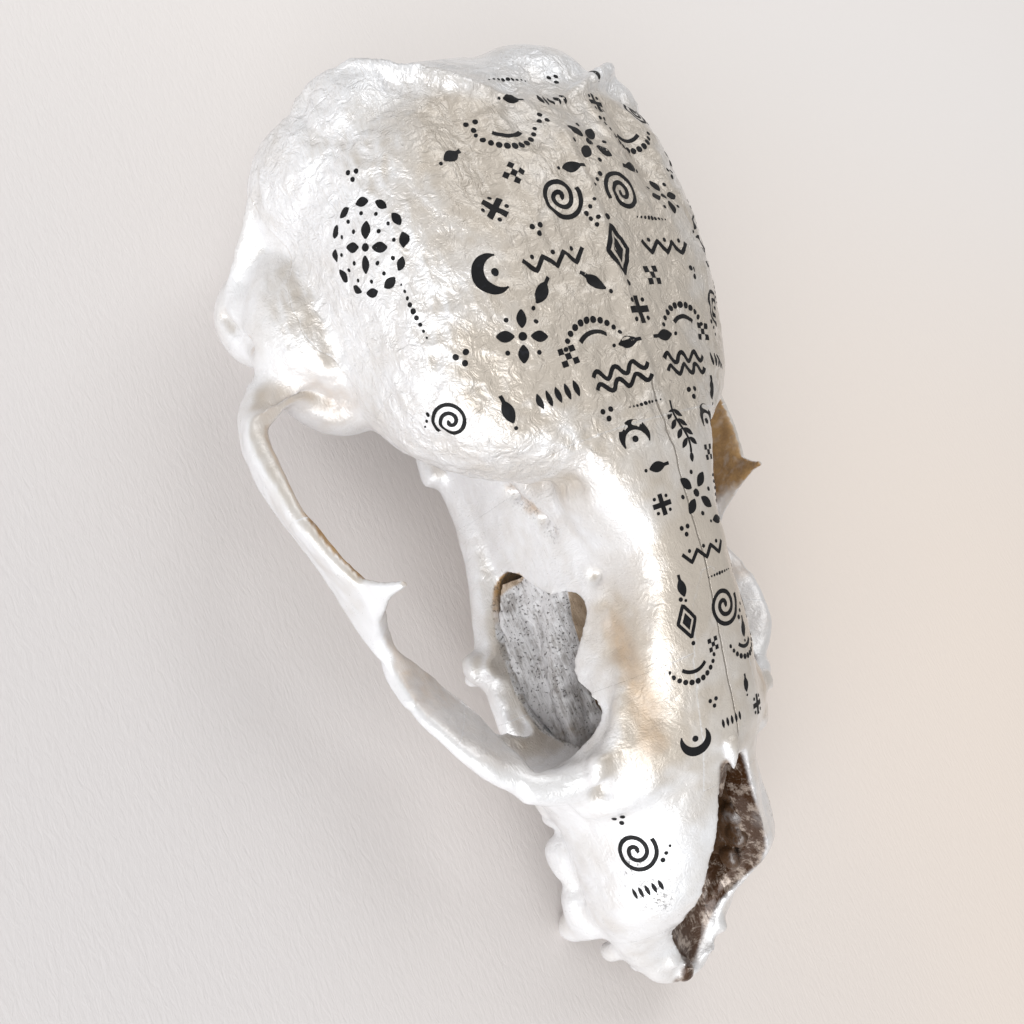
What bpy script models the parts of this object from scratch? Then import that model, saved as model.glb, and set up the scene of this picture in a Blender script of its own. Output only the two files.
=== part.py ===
"""Grey seal skull without its lower jaw, lying on its ear capsules and front teeth.

The snout points to -Y and the animal's left is +X.  Every table below is in
millimetres: S is the distance forward from the rear end, X the distance from
the middle plane and Z the height above the floor.  The bones are laid out as
closed forms, fused, smoothed like grown bone and then parted along the sutures.
"""

import math

import bmesh
import bpy
import numpy as np

MM = 0.001
SUTURE_GAP = 0.3

# Driving sizes of the animal
SKULL_LENGTH = 243.5
BRAINCASE_HALF_WIDTH = 52.0
VERTEX_HEIGHT = 96.8
SNOUT_HALF_WIDTH = 27.4

# How fine the fused bone is
VOXEL = 1.4
SMOOTHING_PASSES = 7
EDGE_VOXEL = 1.1
EDGE_SMOOTHING_PASSES = 2
RING_POINTS = 40
TRIANGLES = 9500
CONCHAE_TRIANGLES = 900

# Where the sutures run
CORONAL_S = 112.0
ORBIT_FRONT_S = 163.0
FRONTAL_HALF_WIDTH = 31.0
PREMAXILLA_S = 222.5
BULLA_TOP_Z = 15.5
BULLA_BOX = (13.0, 53.0, 12.0, 64.0)
# The occiput is cut off behind a plane through these two points: S, Z
OCCIPUT_PLANE = ((10.0, 80.0), (24.0, 15.0))
# Outline of the cheekbone's place seen from above: X, S
JUGAL_OUTLINE = ((50.0, 103.5), (95.0, 103.5), (95.0, 170.0), (69.0, 170.0), (35.0, 150.0), (35.0, 128.0))
# Outline of the temple bone's place, and the height that its upper suture runs at
TEMPORAL_OUTLINE = ((45.0, 27.0), (95.0, 27.0), (95.0, 112.0), (45.0, 112.0))
TEMPORAL_TOP_Z = 52.0
# The nasal bones' place: S, half width, low side, high side
NASALS = (
    (147.0, 1.5, 77.5, 95.0),
    (153.0, 6.0, 75.0, 95.0),
    (165.0, 9.0, 70.5, 95.0),
    (180.0, 10.0, 65.0, 95.0),
    (193.0, 10.0, 60.0, 95.0),
)

# Braincase rings: S, half width, height of the widest point, top, bottom, power above, power below
BRAINCASE = (
    (5.0, 23.0, 56.0, 70.0, 34.0, 1.8, 2.0),
    (9.0, 35.0, 56.0, 77.5, 28.0, 1.85, 2.2),
    (16.0, 44.5, 58.0, 84.5, 23.0, 2.05, 2.4),
    (28.0, 50.5, 60.0, 92.0, 20.0, 2.6, 2.6),
    (42.0, BRAINCASE_HALF_WIDTH, 57.0, 96.0, 19.0, 3.0, 2.8),
    (56.0, BRAINCASE_HALF_WIDTH, 57.0, VERTEX_HEIGHT, 19.0, 3.0, 2.8),
    (70.0, 51.5, 57.0, 95.2, 21.0, 2.9, 2.7),
    (82.0, 50.5, 60.0, 93.6, 28.0, 2.7, 2.6),
    (93.0, 48.0, 64.0, 91.4, 36.0, 2.5, 2.5),
    (102.0, 43.0, 67.0, 89.8, 44.0, 2.3, 2.4),
    (108.5, 36.0, 70.0, 89.2, 51.0, 2.2, 2.3),
    (113.5, 27.0, 73.0, 88.6, 59.0, 2.1, 2.2),
    (117.5, 14.0, 77.0, 87.6, 67.0, 2.0, 2.0),
)
SKULL_BASE = (
    (6.0, 20.0, 30.0, 48.0, 22.0, 2.5, 2.5),
    (20.0, 24.0, 30.0, 50.0, 17.5, 3.0, 3.0),
    (50.0, 24.0, 30.0, 52.0, 17.0, 3.0, 3.0),
    (75.0, 20.0, 32.0, 55.0, 20.0, 3.0, 3.0),
    (100.0, 16.0, 36.0, 60.0, 23.0, 3.0, 3.0),
    (120.0, 12.0, 40.0, 65.0, 26.0, 3.0, 3.0),
)
FRONTAL_BEAM = (
    (96.0, 24.0, 76.0, 90.5, 62.0, 2.6, 2.4),
    (108.0, 24.0, 75.0, 89.0, 60.0, 2.8, 2.4),
    (118.0, 20.5, 73.5, 88.2, 58.0, 3.0, 2.4),
    (128.0, 17.0, 71.5, 86.0, 56.0, 3.0, 2.4),
    (138.0, 14.2, 69.0, 84.2, 54.0, 3.0, 2.4),
    (147.0, 15.0, 66.5, 82.0, 52.0, 2.8, 2.4),
    (157.0, 17.5, 63.0, 79.0, 48.0, 2.6, 2.4),
    (170.0, 20.0, 57.0, 74.6, 44.0, 2.4, 2.4),
    (184.0, 20.0, 50.0, 69.8, 40.0, 2.4, 2.4),
)
ORBIT_WALL = (
    (92.0, 16.5, 38.0, 80.0, 18.0, 4.0, 3.5),
    (104.0, 16.5, 36.0, 82.0, 16.5, 4.0, 3.5),
    (118.0, 16.0, 34.0, 82.0, 16.0, 4.0, 3.5),
    (130.0, 15.5, 33.0, 80.0, 16.0, 3.6, 3.5),
    (142.0, 17.0, 33.0, 77.0, 16.0, 3.0, 3.5),
    (155.0, 20.5, 34.0, 74.0, 16.0, 2.8, 3.5),
    (168.0, 24.5, 34.0, 70.0, 16.0, 2.6, 3.5),
    (180.0, 27.0, 34.0, 66.0, 16.0, 2.6, 3.5),
)
PALATE = (
    (84.0, 13.0, 22.0, 28.0, 17.0, 2.4, 2.6),
    (92.0, 16.5, 21.5, 29.0, 15.5, 2.5, 2.8),
    (102.0, 17.5, 21.0, 30.0, 15.0, 2.6, 3.0),
    (112.0, 18.0, 21.0, 31.0, 14.5, 2.6, 3.0),
    (125.0, 20.0, 20.0, 28.0, 14.5, 2.6, 3.0),
    (142.0, 25.0, 19.0, 26.5, 14.0, 2.8, 3.2),
    (156.0, 27.5, 18.5, 26.0, 13.5, 3.0, 3.4),
    (170.0, 28.0, 18.5, 26.5, 13.5, 3.2, 3.5),
    (190.0, 26.0, 19.0, 28.0, 13.0, 3.2, 3.5),
)
SNOUT = (
    (166.0, 23.0, 40.0, 73.5, 16.0, 2.2, 3.0),
    (173.0, 27.0, 40.0, 72.5, 15.5, 2.1, 3.0),
    (178.0, 33.0, 38.0, 71.2, 15.0, 2.0, 2.8),
    (182.5, 33.0, 36.0, 69.8, 15.0, 2.0, 2.6),
    (188.0, 29.6, 34.0, 66.8, 14.5, 2.0, 2.6),
    (195.0, 27.6, 32.0, 62.6, 14.0, 2.1, 2.6),
    (203.0, SNOUT_HALF_WIDTH, 31.0, 58.6, 13.0, 2.3, 2.6),
    (210.0, 27.5, 30.0, 54.8, 12.0, 2.4, 2.5),
    (216.0, 27.0, 28.0, 51.6, 11.0, 2.3, 2.4),
    (220.0, 24.8, 26.0, 46.2, 10.5, 2.3, 2.4),
    (224.0, 22.8, 24.0, 37.4, 10.0, 2.3, 2.3),
    (228.0, 20.5, 21.0, 29.4, 9.5, 2.2, 2.3),
    (233.0, 17.0, 18.5, 24.8, 9.5, 2.2, 2.2),
    (238.0, 12.5, 16.5, 20.8, 10.0, 2.1, 2.0),
    (SKULL_LENGTH, 5.0, 14.5, 17.0, 12.0, 2.0, 2.0),
)
# Arch plate: lower or outer edge (X, S, Z), upper or inner edge (X, S, Z), thickness
ARCH = (
    (44.0, 57.0, 30.0, 44.0, 76.0, 52.0, 12.0),
    (56.0, 61.0, 31.0, 55.0, 76.5, 47.0, 9.5),
    (64.0, 67.0, 32.0, 64.5, 77.0, 44.0, 7.0),
    (68.6, 74.0, 32.5, 71.0, 80.0, 42.5, 5.6),
    (70.2, 83.0, 32.5, 72.2, 86.0, 43.0, 5.0),
    (69.8, 92.0, 32.8, 72.0, 94.0, 44.8, 4.4),
    (68.0, 100.0, 32.6, 71.8, 101.0, 46.0, 4.2),
    (64.8, 108.5, 32.4, 70.0, 108.5, 47.3, 4.0),
    (62.8, 116.0, 32.0, 67.8, 115.0, 48.3, 4.0),
    (61.3, 123.0, 31.6, 64.8, 121.5, 49.6, 4.2),
    (60.3, 129.0, 31.6, 61.8, 127.0, 47.5, 4.4),
    (59.6, 134.0, 32.0, 58.0, 132.0, 39.0, 4.6),
    (59.2, 140.5, 33.2, 53.4, 139.0, 32.5, 5.0),
    (59.3, 149.5, 37.8, 46.5, 147.0, 28.0, 5.0),
    (56.6, 160.0, 43.0, 38.5, 156.5, 25.5, 5.5),
    (52.0, 169.0, 45.0, 31.0, 165.0, 25.5, 7.0),
    (43.0, 177.0, 45.0, 23.0, 171.0, 26.0, 9.0),
)
# Crest along the rear edge of the braincase: X, S, Z
NUCHAL_CREST = (
    (0.0, 36.5, 95.0),
    (8.0, 33.0, 94.6),
    (16.0, 29.5, 94.0),
    (25.0, 24.5, 92.4),
    (32.0, 21.5, 90.0),
    (39.0, 17.5, 86.0),
    (45.5, 16.0, 79.0),
    (51.5, 20.0, 67.0),
    (56.5, 27.0, 53.0),
    (61.0, 37.0, 39.0),
    (64.0, 45.0, 29.5),
)
CREST_AIM = (0.0, 52.0, 56.0)
CREST_DEPTH = 11.0
CREST_THICKNESS = 4.4
# Rim in front of the orbit: X, S, Z, radius
ORBIT_RIM = (
    (20.5, 164.0, 63.5, 2.2),
    (25.5, 176.0, 59.5, 3.0),
    (30.5, 180.5, 52.5, 3.6),
    (36.0, 179.5, 45.0, 4.5),
    (43.0, 176.0, 43.0, 4.0),
)
# Blade over the cheekbone: rear edge (X, S, Z), front edge (X, S, Z), thickness
JUGAL_HORN = (
    (66.0, 117.0, 46.0, 59.5, 131.5, 39.0, 3.6),
    (65.0, 120.0, 49.5, 61.0, 128.6, 47.5, 3.2),
    (63.4, 122.6, 53.0, 61.2, 126.6, 53.0, 2.8),
    (60.6, 124.6, 57.0, 60.0, 126.0, 57.0, 2.2),
)
# Rounded masses: X, S, Z, radius across, radius along, radius up
SIDE_MASSES = (
    (45.0, 60.0, 40.0, 19.0, 25.0, 17.0),
    (54.5, 48.0, 29.0, 10.0, 12.0, 12.0),
    (36.0, 20.0, 26.0, 9.0, 8.0, 11.0),
    (13.0, 8.5, 33.0, 8.0, 8.5, 12.0),
    (37.0, 27.0, 73.5, 12.0, 14.0, 13.5),
    (46.5, 31.0, 57.0, 9.5, 15.0, 20.0),
)
MIDDLE_MASSES = (
    (14.0, 21.0, 73.0, 22.0, 14.0, 18.0),
    (0.0, 12.0, 50.0, 24.0, 9.0, 14.0),
)
BULLA = (32.0, 38.0, 14.5, 17.0, 23.0, 16.0)
PTERYGOID = (
    (15.0, 62.0, 30.0, 4.0),
    (15.5, 75.0, 24.0, 4.5),
    (16.5, 88.0, 20.0, 4.5),
    (17.0, 98.0, 20.0, 4.5),
)
HAMULUS = ((16.5, 82.0, 22.0, 3.5), (18.0, 78.0, 15.0, 2.2), (18.5, 74.0, 11.0, 1.5))

# Teeth: S and X at the gum, tip height, radius at the gum
CHEEK_TEETH = (
    (149.0, 25.0, 8.5, 3.2),
    (163.0, 21.0, 9.0, 3.4),
    (177.0, 19.5, 9.0, 3.6),
    (190.0, 19.0, 8.5, 3.6),
    (204.0, 19.6, 5.0, 3.2),
)
CANINE = (218.3, 20.5, -1.0, 4.7)
INCISORS = (
    (228.0, 15.5, 4.0, 2.9),
    (234.5, 9.5, 5.5, 2.3),
    (238.0, 4.0, 6.0, 2.0),
)
TOOTH_ROOT_RISE = 12.0

# Nasal passage and the trough in the palate under the orbits: the same columns as the rings above
NASAL_PASSAGE = (
    (128.0, 6.0, 46.0, 56.0, 36.0, 2.0, 2.0),
    (133.0, 11.0, 46.0, 64.0, 30.0, 2.2, 2.2),
    (145.0, 13.0, 44.0, 66.0, 27.0, 2.4, 2.6),
    (160.0, 15.5, 42.0, 63.0, 25.5, 2.6, 3.0),
    (175.0, 17.0, 40.0, 58.5, 25.0, 2.6, 3.0),
    (186.0, 16.5, 38.0, 54.5, 24.5, 2.8, 3.0),
    (200.0, 15.5, 36.0, 50.5, 24.0, 2.8, 3.0),
    (212.0, 14.5, 33.0, 46.0, 23.0, 2.6, 3.0),
    (220.0, 12.5, 30.0, 42.0, 22.0, 2.4, 2.6),
    (227.0, 9.0, 27.0, 38.0, 21.0, 2.2, 2.2),
    (234.0, 4.0, 24.0, 30.0, 19.5, 2.0, 2.0),
)
NASAL_TROUGH = (
    (127.5, 13.0, 28.0, 33.0, 25.5, 2.4, 2.4),
    (130.0, 17.5, 28.0, 37.0, 23.5, 2.6, 2.6),
    (134.0, 19.5, 27.5, 38.0, 22.5, 2.6, 2.6),
    (142.0, 21.5, 27.0, 38.0, 21.5, 2.6, 2.6),
    (156.0, 22.3, 27.0, 38.0, 20.5, 2.6, 2.6),
    (168.0, 20.5, 27.5, 37.0, 21.0, 2.6, 2.6),
    (176.0, 15.5, 29.0, 35.0, 24.5, 2.4, 2.4),
)
NOSE_OPENING = (
    (189.0, 3.6, 66.0, 100.0, 44.0, 4.0, 2.4),
    (193.0, 5.0, 63.0, 100.0, 42.0, 4.0, 2.4),
    (200.0, 5.8, 60.0, 100.0, 40.0, 4.0, 2.4),
    (206.0, 7.4, 56.0, 100.0, 37.0, 4.0, 2.4),
    (211.0, 9.8, 52.0, 100.0, 34.0, 4.0, 2.4),
    (216.0, 12.6, 48.0, 100.0, 30.0, 4.0, 2.4),
    (223.0, 14.0, 38.0, 100.0, 25.0, 4.0, 2.4),
    (228.0, 10.4, 32.0, 100.0, 21.5, 4.0, 2.4),
    (233.0, 7.8, 28.0, 100.0, 19.5, 4.0, 2.2),
    (238.0, 5.4, 24.0, 100.0, 17.5, 4.0, 2.0),
    (241.5, 2.5, 22.0, 100.0, 17.0, 4.0, 2.0),
)
CONCHAE = (
    (134.0, 5.0, 42.0, 57.0, 25.0, 2.2, 2.4),
    (140.0, 7.5, 40.0, 59.0, 20.0, 2.4, 2.8),
    (155.0, 9.5, 38.0, 58.0, 17.5, 2.6, 3.2),
    (172.0, 11.0, 37.0, 54.0, 18.0, 2.6, 3.2),
    (188.0, 11.0, 37.0, 50.0, 20.5, 2.6, 3.2),
    (202.0, 9.5, 34.0, 46.0, 21.0, 2.4, 3.0),
    (213.0, 6.5, 30.0, 38.0, 20.0, 2.2, 2.6),
    (220.0, 3.0, 27.0, 31.0, 21.0, 2.0, 2.0),
)
# Window in the inner wall of the orbit: S, Z along its edge
ORBIT_WINDOW = (
    (127.0, 27.0),
    (129.0, 34.0),
    (134.0, 39.0),
    (138.0, 44.0),
    (139.5, 53.5),
    (144.0, 57.5),
    (150.5, 52.0),
    (158.0, 46.5),
    (165.5, 51.5),
    (171.0, 47.5),
    (176.0, 39.0),
    (176.0, 29.0),
    (160.0, 24.0),
    (140.0, 23.5),
)
WINDOW_NEAR_X = 8.0
WINDOW_FAR_X = 40.0
FORAMEN_MAGNUM = (0.0, 0.0, 40.0, 15.0, 24.0, 11.5)
CHOANA = (0.0, 84.0, 24.0, 11.5, 17.0, 9.0)

# The order in which the bones are cut off the fused skull; the upper jaw is what is left
CUT_ORDER = (
    "jugal_left",
    "jugal_right",
    "bulla_left",
    "bulla_right",
    "nasals",
    "occiput",
    "temporal_left",
    "temporal_right",
    "frontal",
    "premaxilla",
    "braincase",
)

BONE_WHITE = (0.86, 0.85, 0.82, 1.0)
BONE_TAN = (0.42, 0.31, 0.20, 1.0)


def clear_scene():
    """Remove whatever the file held before."""
    for item in list(bpy.data.objects):
        bpy.data.objects.remove(item)


def bone_material(name, colour, roughness):
    """One Principled material."""
    material = bpy.data.materials.new(name)
    material.use_nodes = True
    shader = material.node_tree.nodes["Principled BSDF"]
    shader.inputs["Base Color"].default_value = colour
    shader.inputs["Roughness"].default_value = roughness
    shader.inputs["Metallic"].default_value = 0.0
    return material


def carried(table, count):
    """Read a table of rows smoothly at even steps, with no overshoot between the rows."""
    rows = np.array(table, dtype=float)
    steps = np.linalg.norm(np.diff(rows[:, :3], axis=0), axis=1)
    place = np.concatenate([[0.0], np.cumsum(steps)])
    slope = np.diff(rows, axis=0) / steps[:, None]
    tangent = np.empty_like(rows)
    tangent[0] = slope[0]
    tangent[-1] = slope[-1]
    before = slope[:-1]
    after = slope[1:]
    agree = before * after > 0.0
    tangent[1:-1] = np.where(agree, 2.0 * before * after / np.where(agree, before + after, 1.0), 0.0)
    at = np.linspace(0.0, place[-1], count)
    left = np.clip(np.searchsorted(place, at, side="right") - 1, 0, len(rows) - 2)
    span = steps[left][:, None]
    t = (at[:, None] - place[left][:, None]) / span
    return (
        rows[left] * (1.0 + 2.0 * t) * (1.0 - t) ** 2
        + rows[left + 1] * t ** 2 * (3.0 - 2.0 * t)
        + tangent[left] * span * t * (1.0 - t) ** 2
        + tangent[left + 1] * span * t ** 2 * (t - 1.0)
    )


def rounded(angle_value, power):
    """The superellipse factor sign(v) |v| ^ (2 / power)."""
    return np.sign(angle_value) * np.abs(angle_value) ** (2.0 / power)


def closed_form(name, rings):
    """A closed mesh from rings of points in X, S, Z millimetres, capped by fans."""
    count, around = rings.shape[:2]
    ends = np.stack([rings[0].mean(axis=0), rings[-1].mean(axis=0)])
    points = np.concatenate([rings.reshape(-1, 3), ends])
    points = points * np.array([MM, -MM, MM])
    faces = []
    for row in range(count - 1):
        for step in range(around):
            a = row * around + step
            b = row * around + (step + 1) % around
            faces.append((a, b, b + around, a + around))
    first = count * around
    for step in range(around):
        following = (step + 1) % around
        faces.append((first, following, step))
        faces.append((first + 1, (count - 1) * around + step, (count - 1) * around + following))
    mesh = bpy.data.meshes.new(name)
    mesh.from_pydata(points.tolist(), [], faces)
    work = bmesh.new()
    work.from_mesh(mesh)
    bmesh.ops.recalc_face_normals(work, faces=work.faces)
    work.to_mesh(mesh)
    work.free()
    form = bpy.data.objects.new(name, mesh)
    bpy.context.scene.collection.objects.link(form)
    return form


def loft(name, table, step=2.5):
    """Superellipse rings across the skull, one plane S after another."""
    length = table[-1][0] - table[0][0]
    rows = carried(table, max(6, int(length / step)))
    angle = np.linspace(0.0, 2.0 * math.pi, RING_POINTS, endpoint=False)
    place, width, middle, top, bottom, power_up, power_down = [column[:, None] for column in rows.T]
    power = np.where(np.sin(angle) >= 0.0, power_up, power_down)
    reach = np.where(np.sin(angle) >= 0.0, top - middle, middle - bottom)
    x = width * rounded(np.cos(angle), power)
    z = middle + reach * rounded(np.sin(angle), power)
    return closed_form(name, np.stack([x, np.broadcast_to(place, x.shape), z], axis=-1))


def plate(name, table, side, count=48, power=2.6, around=20):
    """A plate between two edges, each ring square to its path."""
    rows = carried(table, count)
    low = rows[:, 0:3] * np.array([side, 1.0, 1.0])
    high = rows[:, 3:6] * np.array([side, 1.0, 1.0])
    middle = (low + high) / 2.0
    half = (high - low) / 2.0
    travel = np.gradient(middle, axis=0)
    across = np.cross(half, travel)
    across *= (rows[:, 6:7] / 2.0) / np.linalg.norm(across, axis=1, keepdims=True)
    angle = np.linspace(0.0, 2.0 * math.pi, around, endpoint=False)
    along = rounded(np.cos(angle), power)[None, :, None]
    over = rounded(np.sin(angle), power)[None, :, None]
    rings = middle[:, None] + half[:, None] * along + across[:, None] * over
    return closed_form(name, rings)


def round_rod(name, table, side, count=16, around=14):
    """A tapering round rod through X, S, Z, radius rows."""
    rows = carried(table, count)
    middle = rows[:, 0:3] * np.array([side, 1.0, 1.0])
    travel = np.gradient(middle, axis=0)
    travel /= np.linalg.norm(travel, axis=1, keepdims=True)
    guide = np.array([0.31, 0.43, 0.85])
    first = np.cross(travel, guide)
    first /= np.linalg.norm(first, axis=1, keepdims=True)
    second = np.cross(travel, first)
    angle = np.linspace(0.0, 2.0 * math.pi, around, endpoint=False)
    turn = np.cos(angle)[None, :, None] * first[:, None] + np.sin(angle)[None, :, None] * second[:, None]
    return closed_form(name, middle[:, None] + rows[:, 3][:, None, None] * turn)


def mass(name, sizes, side, rows=18, around=28):
    """An ellipsoid."""
    x, s, z, across, along, up = sizes
    polar = np.linspace(0.06, math.pi - 0.06, rows)[:, None]
    angle = np.linspace(0.0, 2.0 * math.pi, around, endpoint=False)[None, :]
    ring_x = x * side + across * np.sin(polar) * np.cos(angle)
    ring_z = z + up * np.sin(polar) * np.sin(angle)
    ring_s = s - along * np.cos(polar) * np.ones_like(angle)
    return closed_form(name, np.stack([ring_x, ring_s, ring_z], axis=-1))


def crest(name, side):
    """The thin ridge behind the braincase, each ring aimed at the middle of the brain."""
    rows = []
    for x, s, z in NUCHAL_CREST:
        top = np.array([x, s, z])
        inward = np.array(CREST_AIM) - top
        inward *= CREST_DEPTH / np.linalg.norm(inward)
        rows.append((*(top + inward), *top, CREST_THICKNESS))
    return plate(name, rows, side, count=30, power=2.0, around=16)


def tooth(name, s, x, tip, radius, side):
    """A peg tooth, swollen at the gum, its root sunk in the jaw."""
    rise = tip + TOOTH_ROOT_RISE
    rows = (
        (x * 0.97, s, rise + 8.0, radius * 0.8),
        (x, s, rise, radius),
        (x + 0.6, s + 0.5, tip + 4.5, radius * 0.9),
        (x + 0.8, s + 1.0, tip, radius * 0.42),
    )
    return round_rod(name, rows, side, count=8, around=12)


def outlined_hole(name, outline, near, far, side):
    """A cutter with a smooth closed outline in S and Z, from X = near to X = far."""
    corner = np.array(outline)
    following = np.roll(corner, -1, axis=0)
    for _ in range(2):
        corner = np.stack([corner * 0.75 + following * 0.25, corner * 0.25 + following * 0.75], axis=1)
        corner = corner.reshape(-1, 2)
        following = np.roll(corner, -1, axis=0)
    rings = []
    for x in (near, far):
        rings.append(np.column_stack([np.full(len(corner), x * side), corner]))
    return closed_form(name, np.array(rings))


def block(name, low, high, turn=0.0, about=(0.0, 0.0)):
    """A box from low to high in X, S, Z, turned about a vertical line through X, S."""
    corners = []
    for x in (low[0], high[0]):
        for s in (low[1], high[1]):
            for z in (low[2], high[2]):
                dx = x - about[0]
                ds = s - about[1]
                cos = math.cos(math.radians(turn))
                sin = math.sin(math.radians(turn))
                corners.append((about[0] + dx * cos - ds * sin, about[1] + dx * sin + ds * cos, z))
    points = np.array(corners) * np.array([MM, -MM, MM])
    faces = [(0, 1, 3, 2), (4, 6, 7, 5), (0, 4, 5, 1), (2, 3, 7, 6), (0, 2, 6, 4), (1, 5, 7, 3)]
    mesh = bpy.data.meshes.new(name)
    mesh.from_pydata(points.tolist(), [], faces)
    work = bmesh.new()
    work.from_mesh(mesh)
    bmesh.ops.recalc_face_normals(work, faces=work.faces)
    work.to_mesh(mesh)
    work.free()
    form = bpy.data.objects.new(name, mesh)
    bpy.context.scene.collection.objects.link(form)
    return form


def apply_modifiers(form):
    """Turn an object's modifiers into its mesh."""
    depsgraph = bpy.context.evaluated_depsgraph_get()
    mesh = bpy.data.meshes.new_from_object(form.evaluated_get(depsgraph))
    form.modifiers.clear()
    form.data = mesh


def combine(form, others, operation, solver="MANIFOLD"):
    """One Boolean of a form with a collection of closed forms, which are then removed."""
    group = bpy.data.collections.new("operands")
    for other in others:
        group.objects.link(other)
    step = form.modifiers.new("combine", "BOOLEAN")
    step.operation = operation
    step.operand_type = "COLLECTION"
    step.collection = group
    step.solver = solver
    apply_modifiers(form)
    for other in others:
        bpy.data.objects.remove(other)
    bpy.data.collections.remove(group)


def keep_largest(form):
    """Keep the closed surface with the most faces and drop loose scraps."""
    work = bmesh.new()
    work.from_mesh(form.data)
    left = set(work.faces)
    shells = []
    while left:
        seed = left.pop()
        shell = {seed}
        edge_of_search = [seed]
        while edge_of_search:
            face = edge_of_search.pop()
            for edge in face.edges:
                for neighbour in edge.link_faces:
                    if neighbour in left:
                        left.remove(neighbour)
                        shell.add(neighbour)
                        edge_of_search.append(neighbour)
        shells.append(shell)
    shells.sort(key=lambda shell: sum(face.calc_area() for face in shell))
    scraps = [face for shell in shells[:-1] for face in shell]
    if scraps:
        bmesh.ops.delete(work, geom=scraps, context="FACES")
        loose = [vert for vert in work.verts if not vert.link_faces]
        bmesh.ops.delete(work, geom=loose, context="VERTS")
    work.to_mesh(form.data)
    work.free()


def bone_forms():
    """All the closed forms of the skull, before they are fused."""
    forms = [
        loft("braincase_form", BRAINCASE),
        loft("base_form", SKULL_BASE),
        loft("frontal_form", FRONTAL_BEAM),
        loft("orbit_wall_form", ORBIT_WALL),
        loft("palate_form", PALATE),
        loft("snout_form", SNOUT),
    ]
    for number, sizes in enumerate(MIDDLE_MASSES):
        forms.append(mass(f"middle_mass_{number}", sizes, 1.0))
    for side in (-1.0, 1.0):
        forms.append(plate("arch_form", ARCH, side))
        forms.append(crest("crest_form", side))
        forms.append(round_rod("rim_form", ORBIT_RIM, side, count=24))
        forms.append(plate("horn_form", JUGAL_HORN, side, count=20))
        forms.append(round_rod("pterygoid_form", PTERYGOID, side))
        forms.append(round_rod("hamulus_form", HAMULUS, side))
        forms.append(mass("bulla_form", BULLA, side))
        for sizes in SIDE_MASSES:
            forms.append(mass("side_mass", sizes, side))
        for place, x, tip, radius in CHEEK_TEETH + (CANINE,) + INCISORS:
            forms.append(tooth("tooth_form", place, x, tip, radius, side))
    return forms


def hollow_forms():
    """All the closed forms that are cut away from the fused bone."""
    hollows = [
        loft("nasal_passage", NASAL_PASSAGE),
        loft("nasal_trough", NASAL_TROUGH),
        loft("nose_opening", NOSE_OPENING),
        mass("foramen_magnum", FORAMEN_MAGNUM, 1.0),
        mass("choana", CHOANA, 1.0),
    ]
    for side in (-1.0, 1.0):
        hollows.append(outlined_hole("orbit_window", ORBIT_WINDOW, WINDOW_NEAR_X, WINDOW_FAR_X, side))
    return hollows


def grow_skin(form, voxel, passes):
    """Give a form an even skin of small faces and relax it."""
    skin = form.modifiers.new("skin", "REMESH")
    skin.mode = "VOXEL"
    skin.voxel_size = voxel * MM
    apply_modifiers(form)
    soften = form.modifiers.new("soften", "SMOOTH")
    soften.factor = 0.5
    soften.iterations = passes
    apply_modifiers(form)


def fused_bone():
    """The whole skull as one smooth closed surface standing on its flats."""
    forms = bone_forms()
    bone = forms[0]
    combine(bone, forms[1:], "UNION")
    grow_skin(bone, VOXEL, SMOOTHING_PASSES)
    combine(bone, hollow_forms(), "DIFFERENCE")
    grow_skin(bone, EDGE_VOXEL, EDGE_SMOOTHING_PASSES)
    keep_largest(bone)
    thin_out(bone, TRIANGLES)
    floor_cut = block("floor_cut", (-200.0, -100.0, -50.0), (200.0, 400.0, 0.0))
    combine(bone, [floor_cut], "DIFFERENCE")
    return bone


def triangle_count(mesh):
    """How many triangles the mesh's faces make."""
    return sum(len(face.vertices) - 2 for face in mesh.polygons)


def thin_out(form, triangles):
    """Collapse edges until about the given number of triangles is left."""
    ratio = triangles / triangle_count(form.data)
    if ratio < 1.0:
        thin = form.modifiers.new("thin", "DECIMATE")
        thin.decimate_type = "COLLAPSE"
        thin.ratio = ratio
        thin.use_symmetry = False
        apply_modifiers(form)


def copy_of(form, name):
    """A second object with a mesh of its own."""
    copy = bpy.data.objects.new(name, form.data.copy())
    bpy.context.scene.collection.objects.link(copy)
    return copy


def prism(name, outline, low, high, side):
    """A straight block over a closed outline in X and S, from Z = low to Z = high."""
    points = np.array(outline) * np.array([side, 1.0])
    rings = [np.column_stack([points, np.full(len(points), z)]) for z in (low, high)]
    return closed_form(name, np.array(rings))


def slanted_block(name, rows, grow):
    """A block with square corners carried along S: S, half width, low side, high side."""
    rings = []
    for row, (place, width, low, high) in enumerate(rows):
        ahead = grow * (-1.0 if row == 0 else 1.0 if row == len(rows) - 1 else 0.0)
        wide = width + grow
        ring = [(wide, high), (-wide, high), (-wide, low - grow), (wide, low - grow)]
        rings.append([(x, place + ahead, z) for x, z in ring])
    return closed_form(name, np.array(rings))


def grown_outline(outline, grow):
    """An outline moved outwards by the same distance on every side."""
    corner = np.array(outline)
    before = corner - np.roll(corner, 1, axis=0)
    after = np.roll(corner, -1, axis=0) - corner
    before /= np.linalg.norm(before, axis=1, keepdims=True)
    after /= np.linalg.norm(after, axis=1, keepdims=True)
    outward = np.column_stack([before[:, 1] + after[:, 1], -before[:, 0] - after[:, 0]])
    outward /= (1.0 + np.sum(before * after, axis=1))[:, None]
    return corner + outward * grow


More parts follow.
